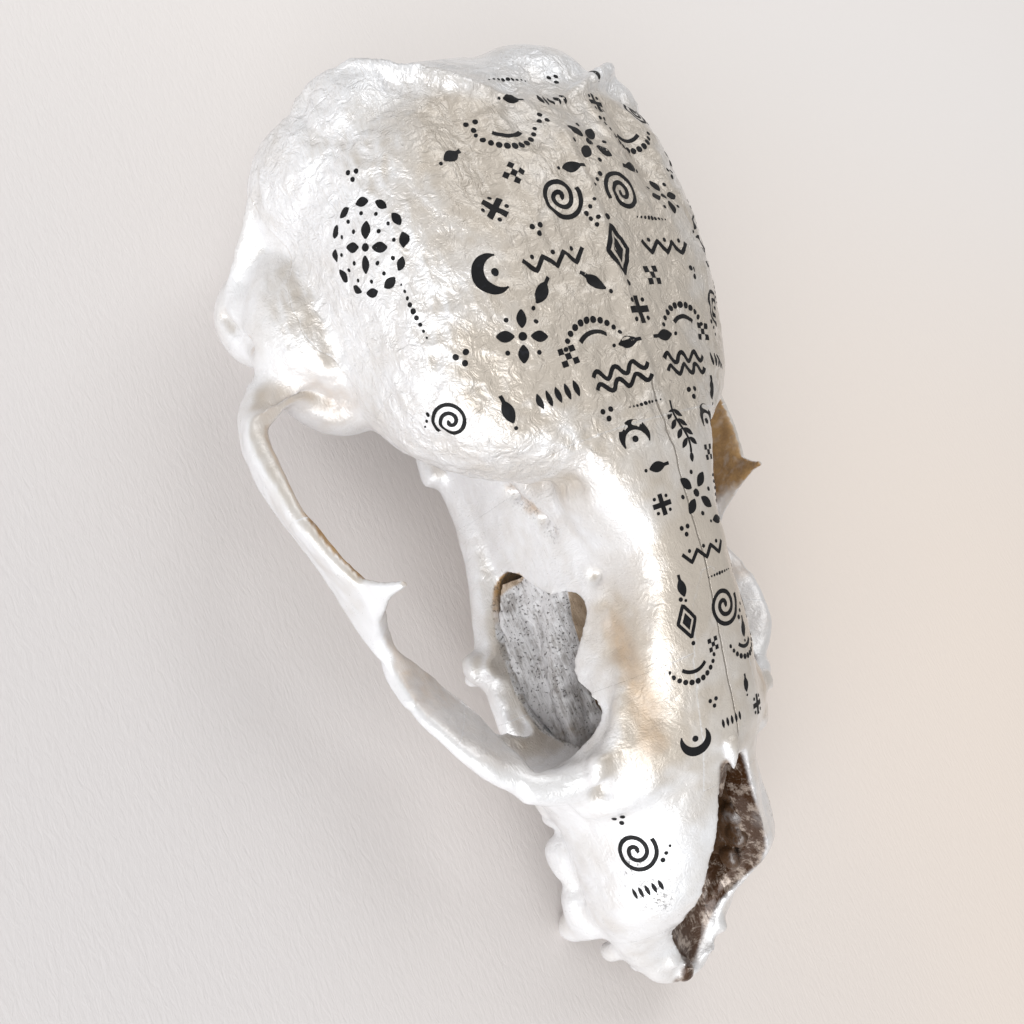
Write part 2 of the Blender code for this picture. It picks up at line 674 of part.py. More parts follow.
def place_of(bone, grow):
    """The space that one bone is cut out with, grown to cut its neighbours back."""
    side = 1.0 if bone.endswith("left") else -1.0
    if bone.startswith("jugal"):
        return prism(bone + "_place", grown_outline(JUGAL_OUTLINE, grow), 12.0 - grow, 75.0, side)
    if bone.startswith("temporal"):
        outline = grown_outline(TEMPORAL_OUTLINE, grow)
        return prism(bone + "_place", outline, -20.0, TEMPORAL_TOP_Z + grow, side)
    if bone.startswith("bulla"):
        near, far, rear, front = BULLA_BOX
        low = (min(near * side, far * side), rear, -5.0)
        high = (max(near * side, far * side), front, BULLA_TOP_Z)
        return block(bone + "_place", np.array(low) - grow, np.array(high) + grow)
    if bone == "nasals":
        return slanted_block(bone + "_place", NASALS, grow)
    if bone == "frontal":
        low = np.array((-FRONTAL_HALF_WIDTH, CORONAL_S, -20.0))
        high = np.array((FRONTAL_HALF_WIDTH, ORBIT_FRONT_S, 120.0))
        return block(bone + "_place", low - grow, high + grow)
    if bone == "braincase":
        return block(bone + "_place", (-100.0, -60.0, -20.0), (100.0, CORONAL_S + grow, 120.0))
    if bone == "premaxilla":
        return block(bone + "_place", (-100.0, PREMAXILLA_S - grow, -20.0), (100.0, 400.0, 120.0))
    (upper_s, upper_z), (lower_s, lower_z) = OCCIPUT_PLANE
    lean = (lower_s - upper_s) / (upper_z - lower_z)
    outline = []
    for z in (-20.0, 120.0):
        outline.append((upper_s + (upper_z - z) * lean + grow, z))
    corners = [(-60.0, -20.0), outline[0], outline[1], (-60.0, 120.0)]
    rings = [[(x, s, z) for s, z in corners] for x in (-90.0, 90.0)]
    return closed_form(bone + "_place", np.array(rings))


def part_bones(bone):
    """Cut the fused bone into its named bones, each a gap away from the next."""
    bones = {}
    for name in CUT_ORDER:
        piece = copy_of(bone, name)
        combine(piece, [place_of(name, 0.0)], "INTERSECT")
        combine(bone, [place_of(name, SUTURE_GAP)], "DIFFERENCE")
        bones[name] = piece
    bone.name = "maxilla"
    bones["maxilla"] = bone
    for piece in bones.values():
        keep_largest(piece)
    return bones


def nose_filling(bone):
    """The scrolls of thin bone in the nose, as one body a gap away from the passage's walls."""
    scrolls = loft("conchae", CONCHAE)
    wall = copy_of(bone, "wall")
    swell = wall.modifiers.new("swell", "DISPLACE")
    swell.strength = SUTURE_GAP * MM
    swell.mid_level = 0.0
    apply_modifiers(wall)
    thin_out(scrolls, CONCHAE_TRIANGLES)
    combine(scrolls, [wall], "DIFFERENCE")
    keep_largest(scrolls)
    return scrolls


def stand_on_origin(bones):
    """Hang every bone on one empty so that the floor's centre under the skull is the origin."""
    points = np.array([vert.co[:] for bone in bones for vert in bone.data.vertices])
    low = points.min(axis=0)
    high = points.max(axis=0)
    holder = bpy.data.objects.new("skull", None)
    holder.location = (-(low[0] + high[0]) / 2.0, -(low[1] + high[1]) / 2.0, -low[2])
    bpy.context.scene.collection.objects.link(holder)
    for bone in bones:
        bone.parent = holder


def main():
    """Build every bone."""
    clear_scene()
    bone = fused_bone()
    scrolls = nose_filling(bone)
    bones = part_bones(bone)
    bones["conchae"] = scrolls
    white = bone_material("bone_white", BONE_WHITE, 0.4)
    tan = bone_material("bone_tan", BONE_TAN, 0.7)
    for name, piece in bones.items():
        piece.data.materials.clear()
        piece.data.materials.append(tan if name == "conchae" else white)
        piece.data.shade_smooth()
        piece.data.set_sharp_from_angle(angle=math.radians(40.0))
    stand_on_origin(list(bones.values()))


if __name__ == "__main__":
    main()
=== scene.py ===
"""Looks of a painted grey seal skull, laid on a pale sheet under soft studio light.

The snout points to -Y and the animal's left is +X.  The tables are in millimetres:
X from the middle plane, S forward from the rear end, Z above the floor.
"""

import math

import bpy
import numpy as np
from bpy.props import FloatProperty, FloatVectorProperty, IntProperty, PointerProperty
from bpy.types import Operator, Panel, PropertyGroup
from mathutils import Matrix, Vector
from mathutils.bvhtree import BVHTree


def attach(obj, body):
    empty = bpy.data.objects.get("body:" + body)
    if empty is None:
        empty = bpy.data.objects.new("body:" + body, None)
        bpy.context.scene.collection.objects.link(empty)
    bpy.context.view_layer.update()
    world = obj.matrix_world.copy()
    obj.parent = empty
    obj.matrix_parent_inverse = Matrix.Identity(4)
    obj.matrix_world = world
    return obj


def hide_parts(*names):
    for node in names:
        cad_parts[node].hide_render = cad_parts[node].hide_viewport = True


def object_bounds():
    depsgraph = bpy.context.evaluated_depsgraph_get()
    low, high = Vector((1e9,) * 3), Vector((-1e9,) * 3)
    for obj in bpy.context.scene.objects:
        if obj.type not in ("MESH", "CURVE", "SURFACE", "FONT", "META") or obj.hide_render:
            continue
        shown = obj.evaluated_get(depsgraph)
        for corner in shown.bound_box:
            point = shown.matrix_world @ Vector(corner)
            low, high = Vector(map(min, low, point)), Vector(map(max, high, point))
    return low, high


bl_info = {
    "name": "Painted Seal Skull",
    "version": (1, 0, 0),
    "blender": (4, 5, 0),
    "location": "View3D > Sidebar > Skull",
    "description": "Bones, folded nose bone, ink marks and studio of a painted seal skull",
    "category": "Add Mesh",
}

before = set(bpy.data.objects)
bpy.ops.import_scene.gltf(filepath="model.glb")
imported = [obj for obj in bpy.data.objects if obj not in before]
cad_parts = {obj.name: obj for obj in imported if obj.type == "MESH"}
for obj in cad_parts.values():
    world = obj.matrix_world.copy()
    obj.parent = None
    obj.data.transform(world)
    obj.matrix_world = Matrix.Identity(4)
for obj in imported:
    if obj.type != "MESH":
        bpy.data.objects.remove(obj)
CAD_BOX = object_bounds()

MM = 0.001
MIDDLE_X = 0.08
MIDDLE_S = 121.83
HAIR_GAP = 0.03
RING_POINTS = 72

CORONAL_S = 112.0
ORBIT_FRONT_S = 163.0
FRONTAL_HALF_WIDTH = 31.0
PREMAXILLA_S = 222.5
BULLA_TOP_Z = 15.5
BULLA_BOX = (13.0, 53.0, 12.0, 64.0)
OCCIPUT_PLANE = ((10.0, 80.0), (24.0, 15.0))
JUGAL_OUTLINE = ((50.0, 103.5), (95.0, 103.5), (95.0, 170.0), (69.0, 170.0), (35.0, 150.0), (35.0, 128.0))
JUGAL_HEIGHTS = (12.0, 75.0)
TEMPORAL_OUTLINE = ((45.0, 27.0), (95.0, 27.0), (95.0, 112.0), (45.0, 112.0))
TEMPORAL_TOP_Z = 52.0
# Levels and distances that lie well clear of the skull
CLEAR_BELOW = -20.0
CLEAR_ABOVE = 120.0
CLEAR_REAR = -60.0
CLEAR_FRONT = 400.0
CLEAR_SIDE = 100.0
FLOOR_CUT = ((-200.0, -100.0, -50.0), (200.0, 400.0, 0.0))
# S, half width, low side, high side
NASALS = (
    (147.0, 1.5, 77.5, 95.0),
    (153.0, 6.0, 75.0, 95.0),
    (165.0, 9.0, 70.5, 95.0),
    (180.0, 10.0, 65.0, 95.0),
    (193.0, 10.0, 60.0, 95.0),
)

# Rings: S, half width, height of the widest point, top, bottom, power above, power below
BRAINCASE = (
    (5.0, 23.0, 56.0, 70.0, 34.0, 1.8, 2.0),
    (9.0, 35.0, 56.0, 77.5, 28.0, 1.85, 2.2),
    (16.0, 44.5, 58.0, 84.5, 23.0, 2.05, 2.4),
    (28.0, 50.5, 60.0, 92.0, 20.0, 2.6, 2.6),
    (42.0, 52.0, 57.0, 96.0, 19.0, 3.0, 2.8),
    (56.0, 52.0, 57.0, 96.8, 19.0, 3.0, 2.8),
    (70.0, 51.5, 57.0, 95.2, 21.0, 2.9, 2.7),
    (82.0, 50.5, 60.0, 93.6, 28.0, 2.7, 2.6),
    (93.0, 48.0, 64.0, 91.4, 36.0, 2.5, 2.5),
    (102.0, 43.0, 67.0, 89.8, 44.0, 2.3, 2.4),
    (108.5, 36.0, 70.0, 89.2, 51.0, 2.2, 2.3),
    (113.5, 27.0, 73.0, 88.6, 59.0, 2.1, 2.2),
    (117.5, 14.0, 77.0, 87.6, 67.0, 2.0, 2.0),
)
SKULL_BASE = (
    (6.0, 20.0, 30.0, 48.0, 22.0, 2.5, 2.5),
    (20.0, 24.0, 30.0, 50.0, 17.5, 3.0, 3.0),
    (50.0, 24.0, 30.0, 52.0, 17.0, 3.0, 3.0),
    (75.0, 20.0, 32.0, 55.0, 20.0, 3.0, 3.0),
    (100.0, 16.0, 36.0, 60.0, 23.0, 3.0, 3.0),
    (120.0, 12.0, 40.0, 65.0, 26.0, 3.0, 3.0),
)
FRONTAL_BEAM = (
    (96.0, 24.0, 76.0, 90.5, 62.0, 2.6, 2.4),
    (108.0, 24.0, 75.0, 89.0, 60.0, 2.8, 2.4),
    (118.0, 20.5, 73.5, 88.2, 58.0, 3.0, 2.4),
    (128.0, 17.0, 71.5, 86.0, 56.0, 3.0, 2.4),
    (138.0, 14.2, 69.0, 84.2, 54.0, 3.0, 2.4),
    (147.0, 15.0, 66.5, 82.0, 52.0, 2.8, 2.4),
    (157.0, 17.5, 63.0, 79.0, 48.0, 2.6, 2.4),
    (170.0, 20.0, 57.0, 74.6, 44.0, 2.4, 2.4),
    (184.0, 20.0, 50.0, 69.8, 40.0, 2.4, 2.4),
)
ORBIT_WALL = (
    (92.0, 16.5, 38.0, 80.0, 18.0, 4.0, 3.5),
    (104.0, 16.5, 36.0, 82.0, 16.5, 4.0, 3.5),
    (118.0, 16.0, 34.0, 82.0, 16.0, 4.0, 3.5),
    (130.0, 15.5, 33.0, 80.0, 16.0, 3.6, 3.5),
    (142.0, 17.0, 33.0, 77.0, 16.0, 3.0, 3.5),
    (155.0, 20.5, 34.0, 74.0, 16.0, 2.8, 3.5),
    (168.0, 24.5, 34.0, 70.0, 16.0, 2.6, 3.5),
    (180.0, 27.0, 34.0, 66.0, 16.0, 2.6, 3.5),
)
PALATE = (
    (84.0, 13.0, 22.0, 28.0, 17.0, 2.4, 2.6),
    (92.0, 16.5, 21.5, 29.0, 15.5, 2.5, 2.8),
    (102.0, 17.5, 21.0, 30.0, 15.0, 2.6, 3.0),
    (112.0, 18.0, 21.0, 31.0, 14.5, 2.6, 3.0),
    (125.0, 20.0, 20.0, 28.0, 14.5, 2.6, 3.0),
    (142.0, 25.0, 19.0, 26.5, 14.0, 2.8, 3.2),
    (156.0, 27.5, 18.5, 26.0, 13.5, 3.0, 3.4),
    (170.0, 28.0, 18.5, 26.5, 13.5, 3.2, 3.5),
    (190.0, 26.0, 19.0, 28.0, 13.0, 3.2, 3.5),
)
SNOUT = (
    (166.0, 23.0, 40.0, 73.5, 16.0, 2.2, 3.0),
    (173.0, 27.0, 40.0, 72.5, 15.5, 2.1, 3.0),
    (178.0, 33.0, 38.0, 71.2, 15.0, 2.0, 2.8),
    (182.5, 33.0, 36.0, 69.8, 15.0, 2.0, 2.6),
    (188.0, 29.6, 34.0, 66.8, 14.5, 2.0, 2.6),
    (195.0, 27.6, 32.0, 62.6, 14.0, 2.1, 2.6),
    (203.0, 27.4, 31.0, 58.6, 13.0, 2.3, 2.6),
    (210.0, 27.5, 30.0, 54.8, 12.0, 2.4, 2.5),
    (216.0, 27.0, 28.0, 51.6, 11.0, 2.3, 2.4),
    (220.0, 24.8, 26.0, 46.2, 10.5, 2.3, 2.4),
    (224.0, 22.8, 24.0, 37.4, 10.0, 2.3, 2.3),
    (228.0, 20.5, 21.0, 29.4, 9.5, 2.2, 2.3),
    (233.0, 17.0, 18.5, 24.8, 9.5, 2.2, 2.2),
    (238.0, 12.5, 16.5, 20.8, 10.0, 2.1, 2.0),
    (243.5, 5.0, 14.5, 17.0, 12.0, 2.0, 2.0),
)
# Lower or outer edge (X, S, Z), upper or inner edge (X, S, Z), thickness
ARCH = (
    (44.0, 57.0, 30.0, 44.0, 76.0, 52.0, 12.0),
    (56.0, 61.0, 31.0, 55.0, 76.5, 47.0, 9.5),
    (64.0, 67.0, 32.0, 64.5, 77.0, 44.0, 7.0),
    (68.6, 74.0, 32.5, 71.0, 80.0, 42.5, 5.6),
    (70.2, 83.0, 32.5, 72.2, 86.0, 43.0, 5.0),
    (69.8, 92.0, 32.8, 72.0, 94.0, 44.8, 4.4),
    (68.0, 100.0, 32.6, 71.8, 101.0, 46.0, 4.2),
    (64.8, 108.5, 32.4, 70.0, 108.5, 47.3, 4.0),
    (62.8, 116.0, 32.0, 67.8, 115.0, 48.3, 4.0),
    (61.3, 123.0, 31.6, 64.8, 121.5, 49.6, 4.2),
    (60.3, 129.0, 31.6, 61.8, 127.0, 47.5, 4.4),
    (59.6, 134.0, 32.0, 58.0, 132.0, 39.0, 4.6),
    (59.2, 140.5, 33.2, 53.4, 139.0, 32.5, 5.0),
    (59.3, 149.5, 37.8, 46.5, 147.0, 28.0, 5.0),
    (56.6, 160.0, 43.0, 38.5, 156.5, 25.5, 5.5),
    (52.0, 169.0, 45.0, 31.0, 165.0, 25.5, 7.0),
    (43.0, 177.0, 45.0, 23.0, 171.0, 26.0, 9.0),
)
NUCHAL_CREST = (
    (0.0, 36.5, 95.0),
    (8.0, 33.0, 94.6),
    (16.0, 29.5, 94.0),
    (25.0, 24.5, 92.4),
    (32.0, 21.5, 90.0),
    (39.0, 17.5, 86.0),
    (45.5, 16.0, 79.0),
    (51.5, 20.0, 67.0),
    (56.5, 27.0, 53.0),
    (61.0, 37.0, 39.0),
    (64.0, 45.0, 29.5),
)
CREST_AIM = (0.0, 52.0, 56.0)
CREST_DEPTH = 11.0
CREST_THICKNESS = 4.2
# X, S, Z, radius
ORBIT_RIM = (
    (19.5, 164.0, 61.5, 2.0),
    (23.0, 174.0, 58.0, 3.0),
    (27.0, 179.5, 53.0, 3.6),
    (34.0, 180.0, 45.5, 4.5),
    (43.0, 176.0, 43.0, 4.0),
)
# Rear edge (X, S, Z), front edge (X, S, Z), thickness
RIM_SHEET = (
    (19.0, 158.0, 62.0, 14.0, 162.0, 67.0, 3.0),
    (21.5, 167.0, 60.5, 15.0, 174.0, 65.5, 3.0),
    (24.5, 173.5, 58.5, 16.0, 184.0, 63.0, 3.0),
    (28.0, 177.0, 54.5, 22.0, 190.0, 57.0, 3.0),
    (32.0, 178.0, 49.5, 27.0, 191.0, 49.0, 3.0),
    (37.0, 177.0, 45.0, 30.0, 190.0, 41.0, 3.0),
)
# Rear edge (X, S, Z), front edge (X, S, Z), thickness
JUGAL_HORN = (
    (66.0, 117.0, 46.0, 59.5, 131.5, 39.0, 3.0),
    (65.0, 120.0, 49.5, 61.0, 128.6, 47.5, 2.6),
    (63.4, 122.6, 53.0, 61.2, 126.6, 53.0, 2.2),
    (60.4, 124.8, 58.5, 59.8, 126.2, 58.5, 1.7),
)
NOSE_FLAKE = (
    (-6.0, 187.0, 65.2, -1.6, 186.5, 65.6, 1.3),
    (-5.4, 190.5, 62.6, -1.8, 190.5, 63.4, 1.2),
    (-4.8, 194.0, 60.2, -2.2, 194.4, 61.0, 1.1),
    (-3.9, 197.2, 58.0, -3.1, 197.4, 58.4, 1.0),
)
NASAL_SPIKE = (
    (-4.6, 184.5, 69.4, -1.0, 184.5, 69.9, 1.5),
    (-3.7, 187.6, 68.0, -1.5, 187.6, 68.5, 1.3),
    (-2.9, 191.0, 66.2, -2.3, 191.0, 66.4, 1.1),
)
SPUR = (
    (29.0, 176.0, 56.0, 2.6),
    (31.0, 180.5, 54.5, 2.0),
    (32.2, 183.0, 52.8, 1.2),
)
PTERYGOID = (
    (15.0, 62.0, 30.0, 4.0),
    (15.5, 75.0, 24.0, 4.5),
    (16.5, 88.0, 20.0, 4.5),
    (17.0, 98.0, 20.0, 4.5),
)
HAMULUS = ((16.5, 82.0, 22.0, 3.5), (18.0, 78.0, 15.0, 2.2), (18.5, 74.0, 11.0, 1.5))
# X, S, Z, radius across, radius along, radius up
SIDE_MASSES = (
    (45.0, 60.0, 40.0, 19.0, 25.0, 17.0),
    (54.5, 48.0, 29.0, 10.0, 12.0, 12.0),
    (36.0, 20.0, 26.0, 9.0, 8.0, 11.0),
    (13.0, 8.5, 33.0, 8.0, 8.5, 12.0),
    (37.0, 27.0, 73.5, 12.0, 14.0, 13.5),
    (46.5, 31.0, 57.0, 9.5, 15.0, 20.0),
    (32.0, 38.0, 14.5, 17.0, 23.0, 16.0),
    (22.6, 201.0, 15.0, 3.6, 6.5, 6.0),
    (22.0, 214.5, 13.0, 4.4, 8.0, 7.0),
    (28.0, 147.5, 18.5, 3.6, 4.6, 3.4),
)
MIDDLE_MASSES = (
    (14.0, 21.0, 73.0, 22.0, 14.0, 18.0),
    (0.0, 12.0, 50.0, 24.0, 9.0, 14.0),
)
FORAMEN_MAGNUM = (0.0, 0.0, 40.0, 15.0, 24.0, 11.5)
CHOANA = (0.0, 84.0, 24.0, 11.5, 17.0, 9.0)

# Teeth: S and X at the gum, tip height, radius at the gum
TEETH = (
    (149.0, 25.0, 8.5, 3.2),
    (163.0, 21.0, 9.0, 3.4),
    (177.0, 19.5, 9.0, 3.6),
    (190.0, 19.0, 8.5, 3.6),
    (203.0, 20.6, 5.5, 2.6),
    (218.3, 20.5, -1.0, 4.7),
    (228.0, 15.5, 4.0, 2.9),
    (234.5, 9.5, 5.5, 2.3),
    (238.0, 4.0, 6.0, 2.0),
)
TOOTH_ROOT_RISE = 12.0
# Small knob at the snout's tip: X, S, Z, radius across, along, up
SNOUT_KNOB = (-4.4, 239.4, 19.6, 2.9, 2.9, 2.4)

NASAL_PASSAGE = (
    (128.0, 6.0, 46.0, 56.0, 36.0, 2.0, 2.0),
    (133.0, 11.0, 46.0, 64.0, 30.0, 2.2, 2.2),
    (145.0, 13.0, 44.0, 66.0, 27.0, 2.4, 2.6),
    (160.0, 15.5, 42.0, 63.0, 25.5, 2.6, 3.0),
    (175.0, 17.0, 40.0, 58.5, 25.0, 2.6, 3.0),
    (186.0, 16.5, 38.0, 54.5, 24.5, 2.8, 3.0),
    (200.0, 15.5, 36.0, 50.5, 24.0, 2.8, 3.0),
    (212.0, 14.5, 33.0, 46.0, 23.0, 2.6, 3.0),
    (220.0, 12.5, 30.0, 42.0, 22.0, 2.4, 2.6),
    (227.0, 9.0, 27.0, 38.0, 21.0, 2.2, 2.2),
    (234.0, 4.0, 24.0, 30.0, 19.5, 2.0, 2.0),
)
NASAL_TROUGH = (
    (127.5, 13.0, 28.0, 33.0, 25.5, 2.4, 2.4),
    (130.0, 17.5, 28.0, 37.0, 23.5, 2.6, 2.6),
    (134.0, 19.5, 27.5, 38.0, 22.5, 2.6, 2.6),
    (142.0, 21.5, 27.0, 38.0, 21.5, 2.6, 2.6),
    (156.0, 22.3, 27.0, 38.0, 20.5, 2.6, 2.6),
    (168.0, 20.5, 27.5, 37.0, 21.0, 2.6, 2.6),
    (176.0, 15.5, 29.0, 35.0, 24.5, 2.4, 2.4),
)
NOSE_OPENING = (
    (189.0, 3.6, 66.0, 100.0, 44.0, 4.0, 2.4),
    (193.0, 5.0, 63.0, 100.0, 42.0, 4.0, 2.4),
    (200.0, 6.6, 60.0, 100.0, 40.0, 4.0, 2.4),
    (206.0, 8.6, 56.0, 100.0, 37.0, 4.0, 2.4),
    (211.0, 10.6, 52.0, 100.0, 34.0, 4.0, 2.4),
    (216.0, 12.6, 48.0, 100.0, 30.0, 4.0, 2.4),
    (223.0, 14.0, 38.0, 100.0, 25.0, 4.0, 2.4),
    (228.0, 10.4, 32.0, 100.0, 21.5, 4.0, 2.4),
    (233.0, 7.8, 28.0, 100.0, 19.5, 4.0, 2.2),
    (238.0, 5.4, 24.0, 100.0, 17.5, 4.0, 2.0),
    (241.5, 2.5, 22.0, 100.0, 17.0, 4.0, 2.0),
)
ORBIT_WINDOW = (
    (127.0, 27.0),
    (129.0, 34.0),
    (134.0, 39.0),
    (138.0, 44.0),
    (139.5, 53.5),
    (144.0, 57.5),
    (150.5, 52.0),
    (158.0, 46.5),
    (166.0, 55.0),
    (171.5, 52.5),
    (176.5, 42.0),
    (176.5, 30.0),
    (160.0, 24.0),
    (140.0, 23.5),
)
WINDOW_NEAR_X = 8.0
WINDOW_FAR_X = 40.0

CUT_ORDER = (
    "jugal_left",
    "jugal_right",
    "bulla_left",
    "bulla_right",
    "nasals",
    "occiput",
    "temporal_left",
    "temporal_right",
    "frontal",
    "premaxilla",
    "braincase",
)

# The camera: where it stands, and its axes as right, down and forward in X, Y, Z
CAMERA_PLACE = (-0.16248, -0.02636, 0.24136)
CAMERA_RIGHT = (0.77082, -0.38560, 0.50709)
CAMERA_DOWN = (-0.24028, -0.91319, -0.32917)
CAMERA_FORWARD = (0.59000, 0.13189, -0.79656)
FOCAL_PIXELS = 1001.08
FRAME_PIXELS = 1024.0
FILM_WIDTH = 36.0


# Surfaces in numpy


def carried(table, count):
    """Rows read at even steps along a table, on cubic pieces whose slopes never overshoot."""
    rows = np.array(table, dtype=float)
    steps = np.linalg.norm(np.diff(rows[:, :3], axis=0), axis=1)
    place = np.concatenate([[0.0], np.cumsum(steps)])
    slope = np.diff(rows, axis=0) / steps[:, None]
    tangent = np.empty_like(rows)
    tangent[0] = slope[0]
    tangent[-1] = slope[-1]
    before = slope[:-1]
    after = slope[1:]
    agree = before * after > 0.0
    tangent[1:-1] = np.where(agree, 2.0 * before * after / np.where(agree, before + after, 1.0), 0.0)
    at = np.linspace(0.0, place[-1], count)
    left = np.clip(np.searchsorted(place, at, side="right") - 1, 0, len(rows) - 2)
    span = steps[left][:, None]
    t = (at[:, None] - place[left][:, None]) / span
    return (
        rows[left] * (1.0 + 2.0 * t) * (1.0 - t) ** 2
        + rows[left + 1] * t ** 2 * (3.0 - 2.0 * t)
        + tangent[left] * span * t * (1.0 - t) ** 2
        + tangent[left + 1] * span * t ** 2 * (t - 1.0)
    )


def rounded(value, power):
    """The superellipse factor: sign of the value times its size to the power 2 / power."""
    return np.sign(value) * np.abs(value) ** (2.0 / power)


def row_frame(points):
    """X, S, Z in millimetres turned into the row frame in metres."""
    return np.stack([points[..., 0] + MIDDLE_X, MIDDLE_S - points[..., 1], points[..., 2]], axis=-1) * MM


def skull_frame(points):
    """The row frame in metres turned back into X, S, Z in millimetres."""
    points = points / MM
    return np.stack([points[..., 0] - MIDDLE_X, MIDDLE_S - points[..., 1], points[..., 2]], axis=-1)


def new_mesh(name, points, groups):
    """A mesh object from points in metres and a list of face arrays with one corner count each."""
    loops = np.concatenate([faces.ravel() for faces in groups])
    sizes = np.concatenate([np.full(len(faces), faces.shape[1]) for faces in groups])
    mesh = bpy.data.meshes.new(name)
    mesh.vertices.add(len(points))
    mesh.vertices.foreach_set("co", points.astype(np.float32).ravel())
    mesh.loops.add(len(loops))
    mesh.loops.foreach_set("vertex_index", loops.astype(np.int32))
    mesh.polygons.add(len(sizes))
    mesh.polygons.foreach_set("loop_start", np.concatenate([[0], np.cumsum(sizes)[:-1]]).astype(np.int32))
    mesh.update(calc_edges=True)
    item = bpy.data.objects.new(name, mesh)
    bpy.context.scene.collection.objects.link(item)
    return item


def closed_surface(name, rings):
    """A grid of rings joined by four-sided faces, each end closed by a fan round its middle point."""
    count, around = rings.shape[:2]
    ends = np.stack([rings[0].mean(axis=0), rings[-1].mean(axis=0)])
    points = row_frame(np.concatenate([rings.reshape(-1, 3), ends]))
    row = (np.arange(count - 1) * around)[:, None]
    step = np.arange(around)
    following = (step + 1) % around
    corners = (row + step, row + following, row + following + around, row + step + around)
    quads = np.stack(corners, axis=-1).reshape(-1, 4)
    first = count * around
    last = (count - 1) * around
    low_fan = np.stack([np.full(around, first), following, step], axis=-1)
    high_fan = np.stack([np.full(around, first + 1), last + step, last + following], axis=-1)
    fans = np.concatenate([low_fan, high_fan])
    a, b, c = (points[fans[:, corner]] for corner in range(3))
    volume = np.sum(np.cross(a, b) * c)
    for one, two, three in ((0, 1, 2), (0, 2, 3)):
        a, b, c = (points[quads[:, corner]] for corner in (one, two, three))
        volume += np.sum(np.cross(a, b) * c)
    if volume < 0.0:
        quads = quads[:, ::-1]
        fans = fans[:, ::-1]
    return new_mesh(name, points, [quads, fans])


def loft(name, table, step=1.5):
    """Superellipse rings across the skull: half width times cos, height times sin, one plane S each."""
    rows = carried(table, max(8, int((table[-1][0] - table[0][0]) / step)))
    angle = np.linspace(0.0, 2.0 * math.pi, RING_POINTS, endpoint=False)
    place, width, middle, top, bottom, power_up, power_down = [column[:, None] for column in rows.T]
    upper = np.sin(angle) >= 0.0
    power = np.where(upper, power_up, power_down)
    reach = np.where(upper, top - middle, middle - bottom)
    x = width * rounded(np.cos(angle), power)
    z = middle + reach * rounded(np.sin(angle), power)
    return closed_surface(name, np.stack([x, np.broadcast_to(place, x.shape), z], axis=-1))


def plate(name, table, side, count=90, power=2.6, around=32):
    """A superellipse carried between two edges, each ring square to the path between them."""
    rows = carried(table, count)
    mirror = np.array([side, 1.0, 1.0])
    low = rows[:, 0:3] * mirror
    high = rows[:, 3:6] * mirror
    middle = (low + high) / 2.0
    half = (high - low) / 2.0
    across = np.cross(half, np.gradient(middle, axis=0))
    across *= (rows[:, 6:7] / 2.0) / np.linalg.norm(across, axis=1, keepdims=True)
    angle = np.linspace(0.0, 2.0 * math.pi, around, endpoint=False)
    along = rounded(np.cos(angle), power)[None, :, None]
    over = rounded(np.sin(angle), power)[None, :, None]
    return closed_surface(name, middle[:, None] + half[:, None] * along + across[:, None] * over)


def rod(name, table, side, count=24, around=20):
    """A circle carried along X, S, Z rows, its radius read from the fourth column."""
    rows = carried(table, count)
    middle = rows[:, 0:3] * np.array([side, 1.0, 1.0])
    travel = np.gradient(middle, axis=0)
    travel /= np.linalg.norm(travel, axis=1, keepdims=True)
    first = np.cross(travel, np.array([0.31, 0.43, 0.85]))
    first /= np.linalg.norm(first, axis=1, keepdims=True)
    second = np.cross(travel, first)
    angle = np.linspace(0.0, 2.0 * math.pi, around, endpoint=False)
    turn = np.cos(angle)[None, :, None] * first[:, None] + np.sin(angle)[None, :, None] * second[:, None]
    return closed_surface(name, middle[:, None] + rows[:, 3][:, None, None] * turn)


def mass(name, sizes, side, rows=28, around=40):
    """An ellipsoid: radii times the sines and cosines of a polar and a turning angle."""
    x, s, z, across, along, up = sizes
    polar = np.linspace(0.06, math.pi - 0.06, rows)[:, None]
    angle = np.linspace(0.0, 2.0 * math.pi, around, endpoint=False)[None, :]
    ring_x = x * side + across * np.sin(polar) * np.cos(angle)
    ring_z = z + up * np.sin(polar) * np.sin(angle)
    ring_s = s - along * np.cos(polar) * np.ones_like(angle)
    return closed_surface(name, np.stack([ring_x, ring_s, ring_z], axis=-1))


def crest(name, side):
    """A thin plate whose rings all point at the middle of the brain."""
    top = np.array(NUCHAL_CREST)
    inward = np.array(CREST_AIM) - top
    inward *= CREST_DEPTH / np.linalg.norm(inward, axis=1, keepdims=True)
    thick = np.full((len(top), 1), CREST_THICKNESS)
    return plate(name, np.hstack([top + inward, top, thick]), side, count=60, power=2.0, around=24)


def tooth(name, row, side):
    """A peg, swollen at the gum, with its root in the jaw."""
    s, x, tip, radius = row
    rise = tip + TOOTH_ROOT_RISE
    rows = (
        (x * 0.97, s, rise + 8.0, radius * 0.8),
        (x, s, rise, radius),
        (x + 0.6, s + 0.5, tip + 4.5, radius * 0.9),
        (x + 0.8, s + 1.0, tip, radius * 0.42),
    )
    return rod(name, rows, side, count=12, around=18)


def outlined_hole(name, outline, near, far, side):
    """A prism over an outline in S and Z whose corners are cut twice at a quarter of each side."""
    corner = np.array(outline)
    for _ in range(3):
        following = np.roll(corner, -1, axis=0)
        corner = np.stack([corner * 0.75 + following * 0.25, corner * 0.25 + following * 0.75], axis=1)
        corner = corner.reshape(-1, 2)
    rings = [np.column_stack([np.full(len(corner), x * side), corner]) for x in (near, far)]
    return closed_surface(name, np.array(rings))


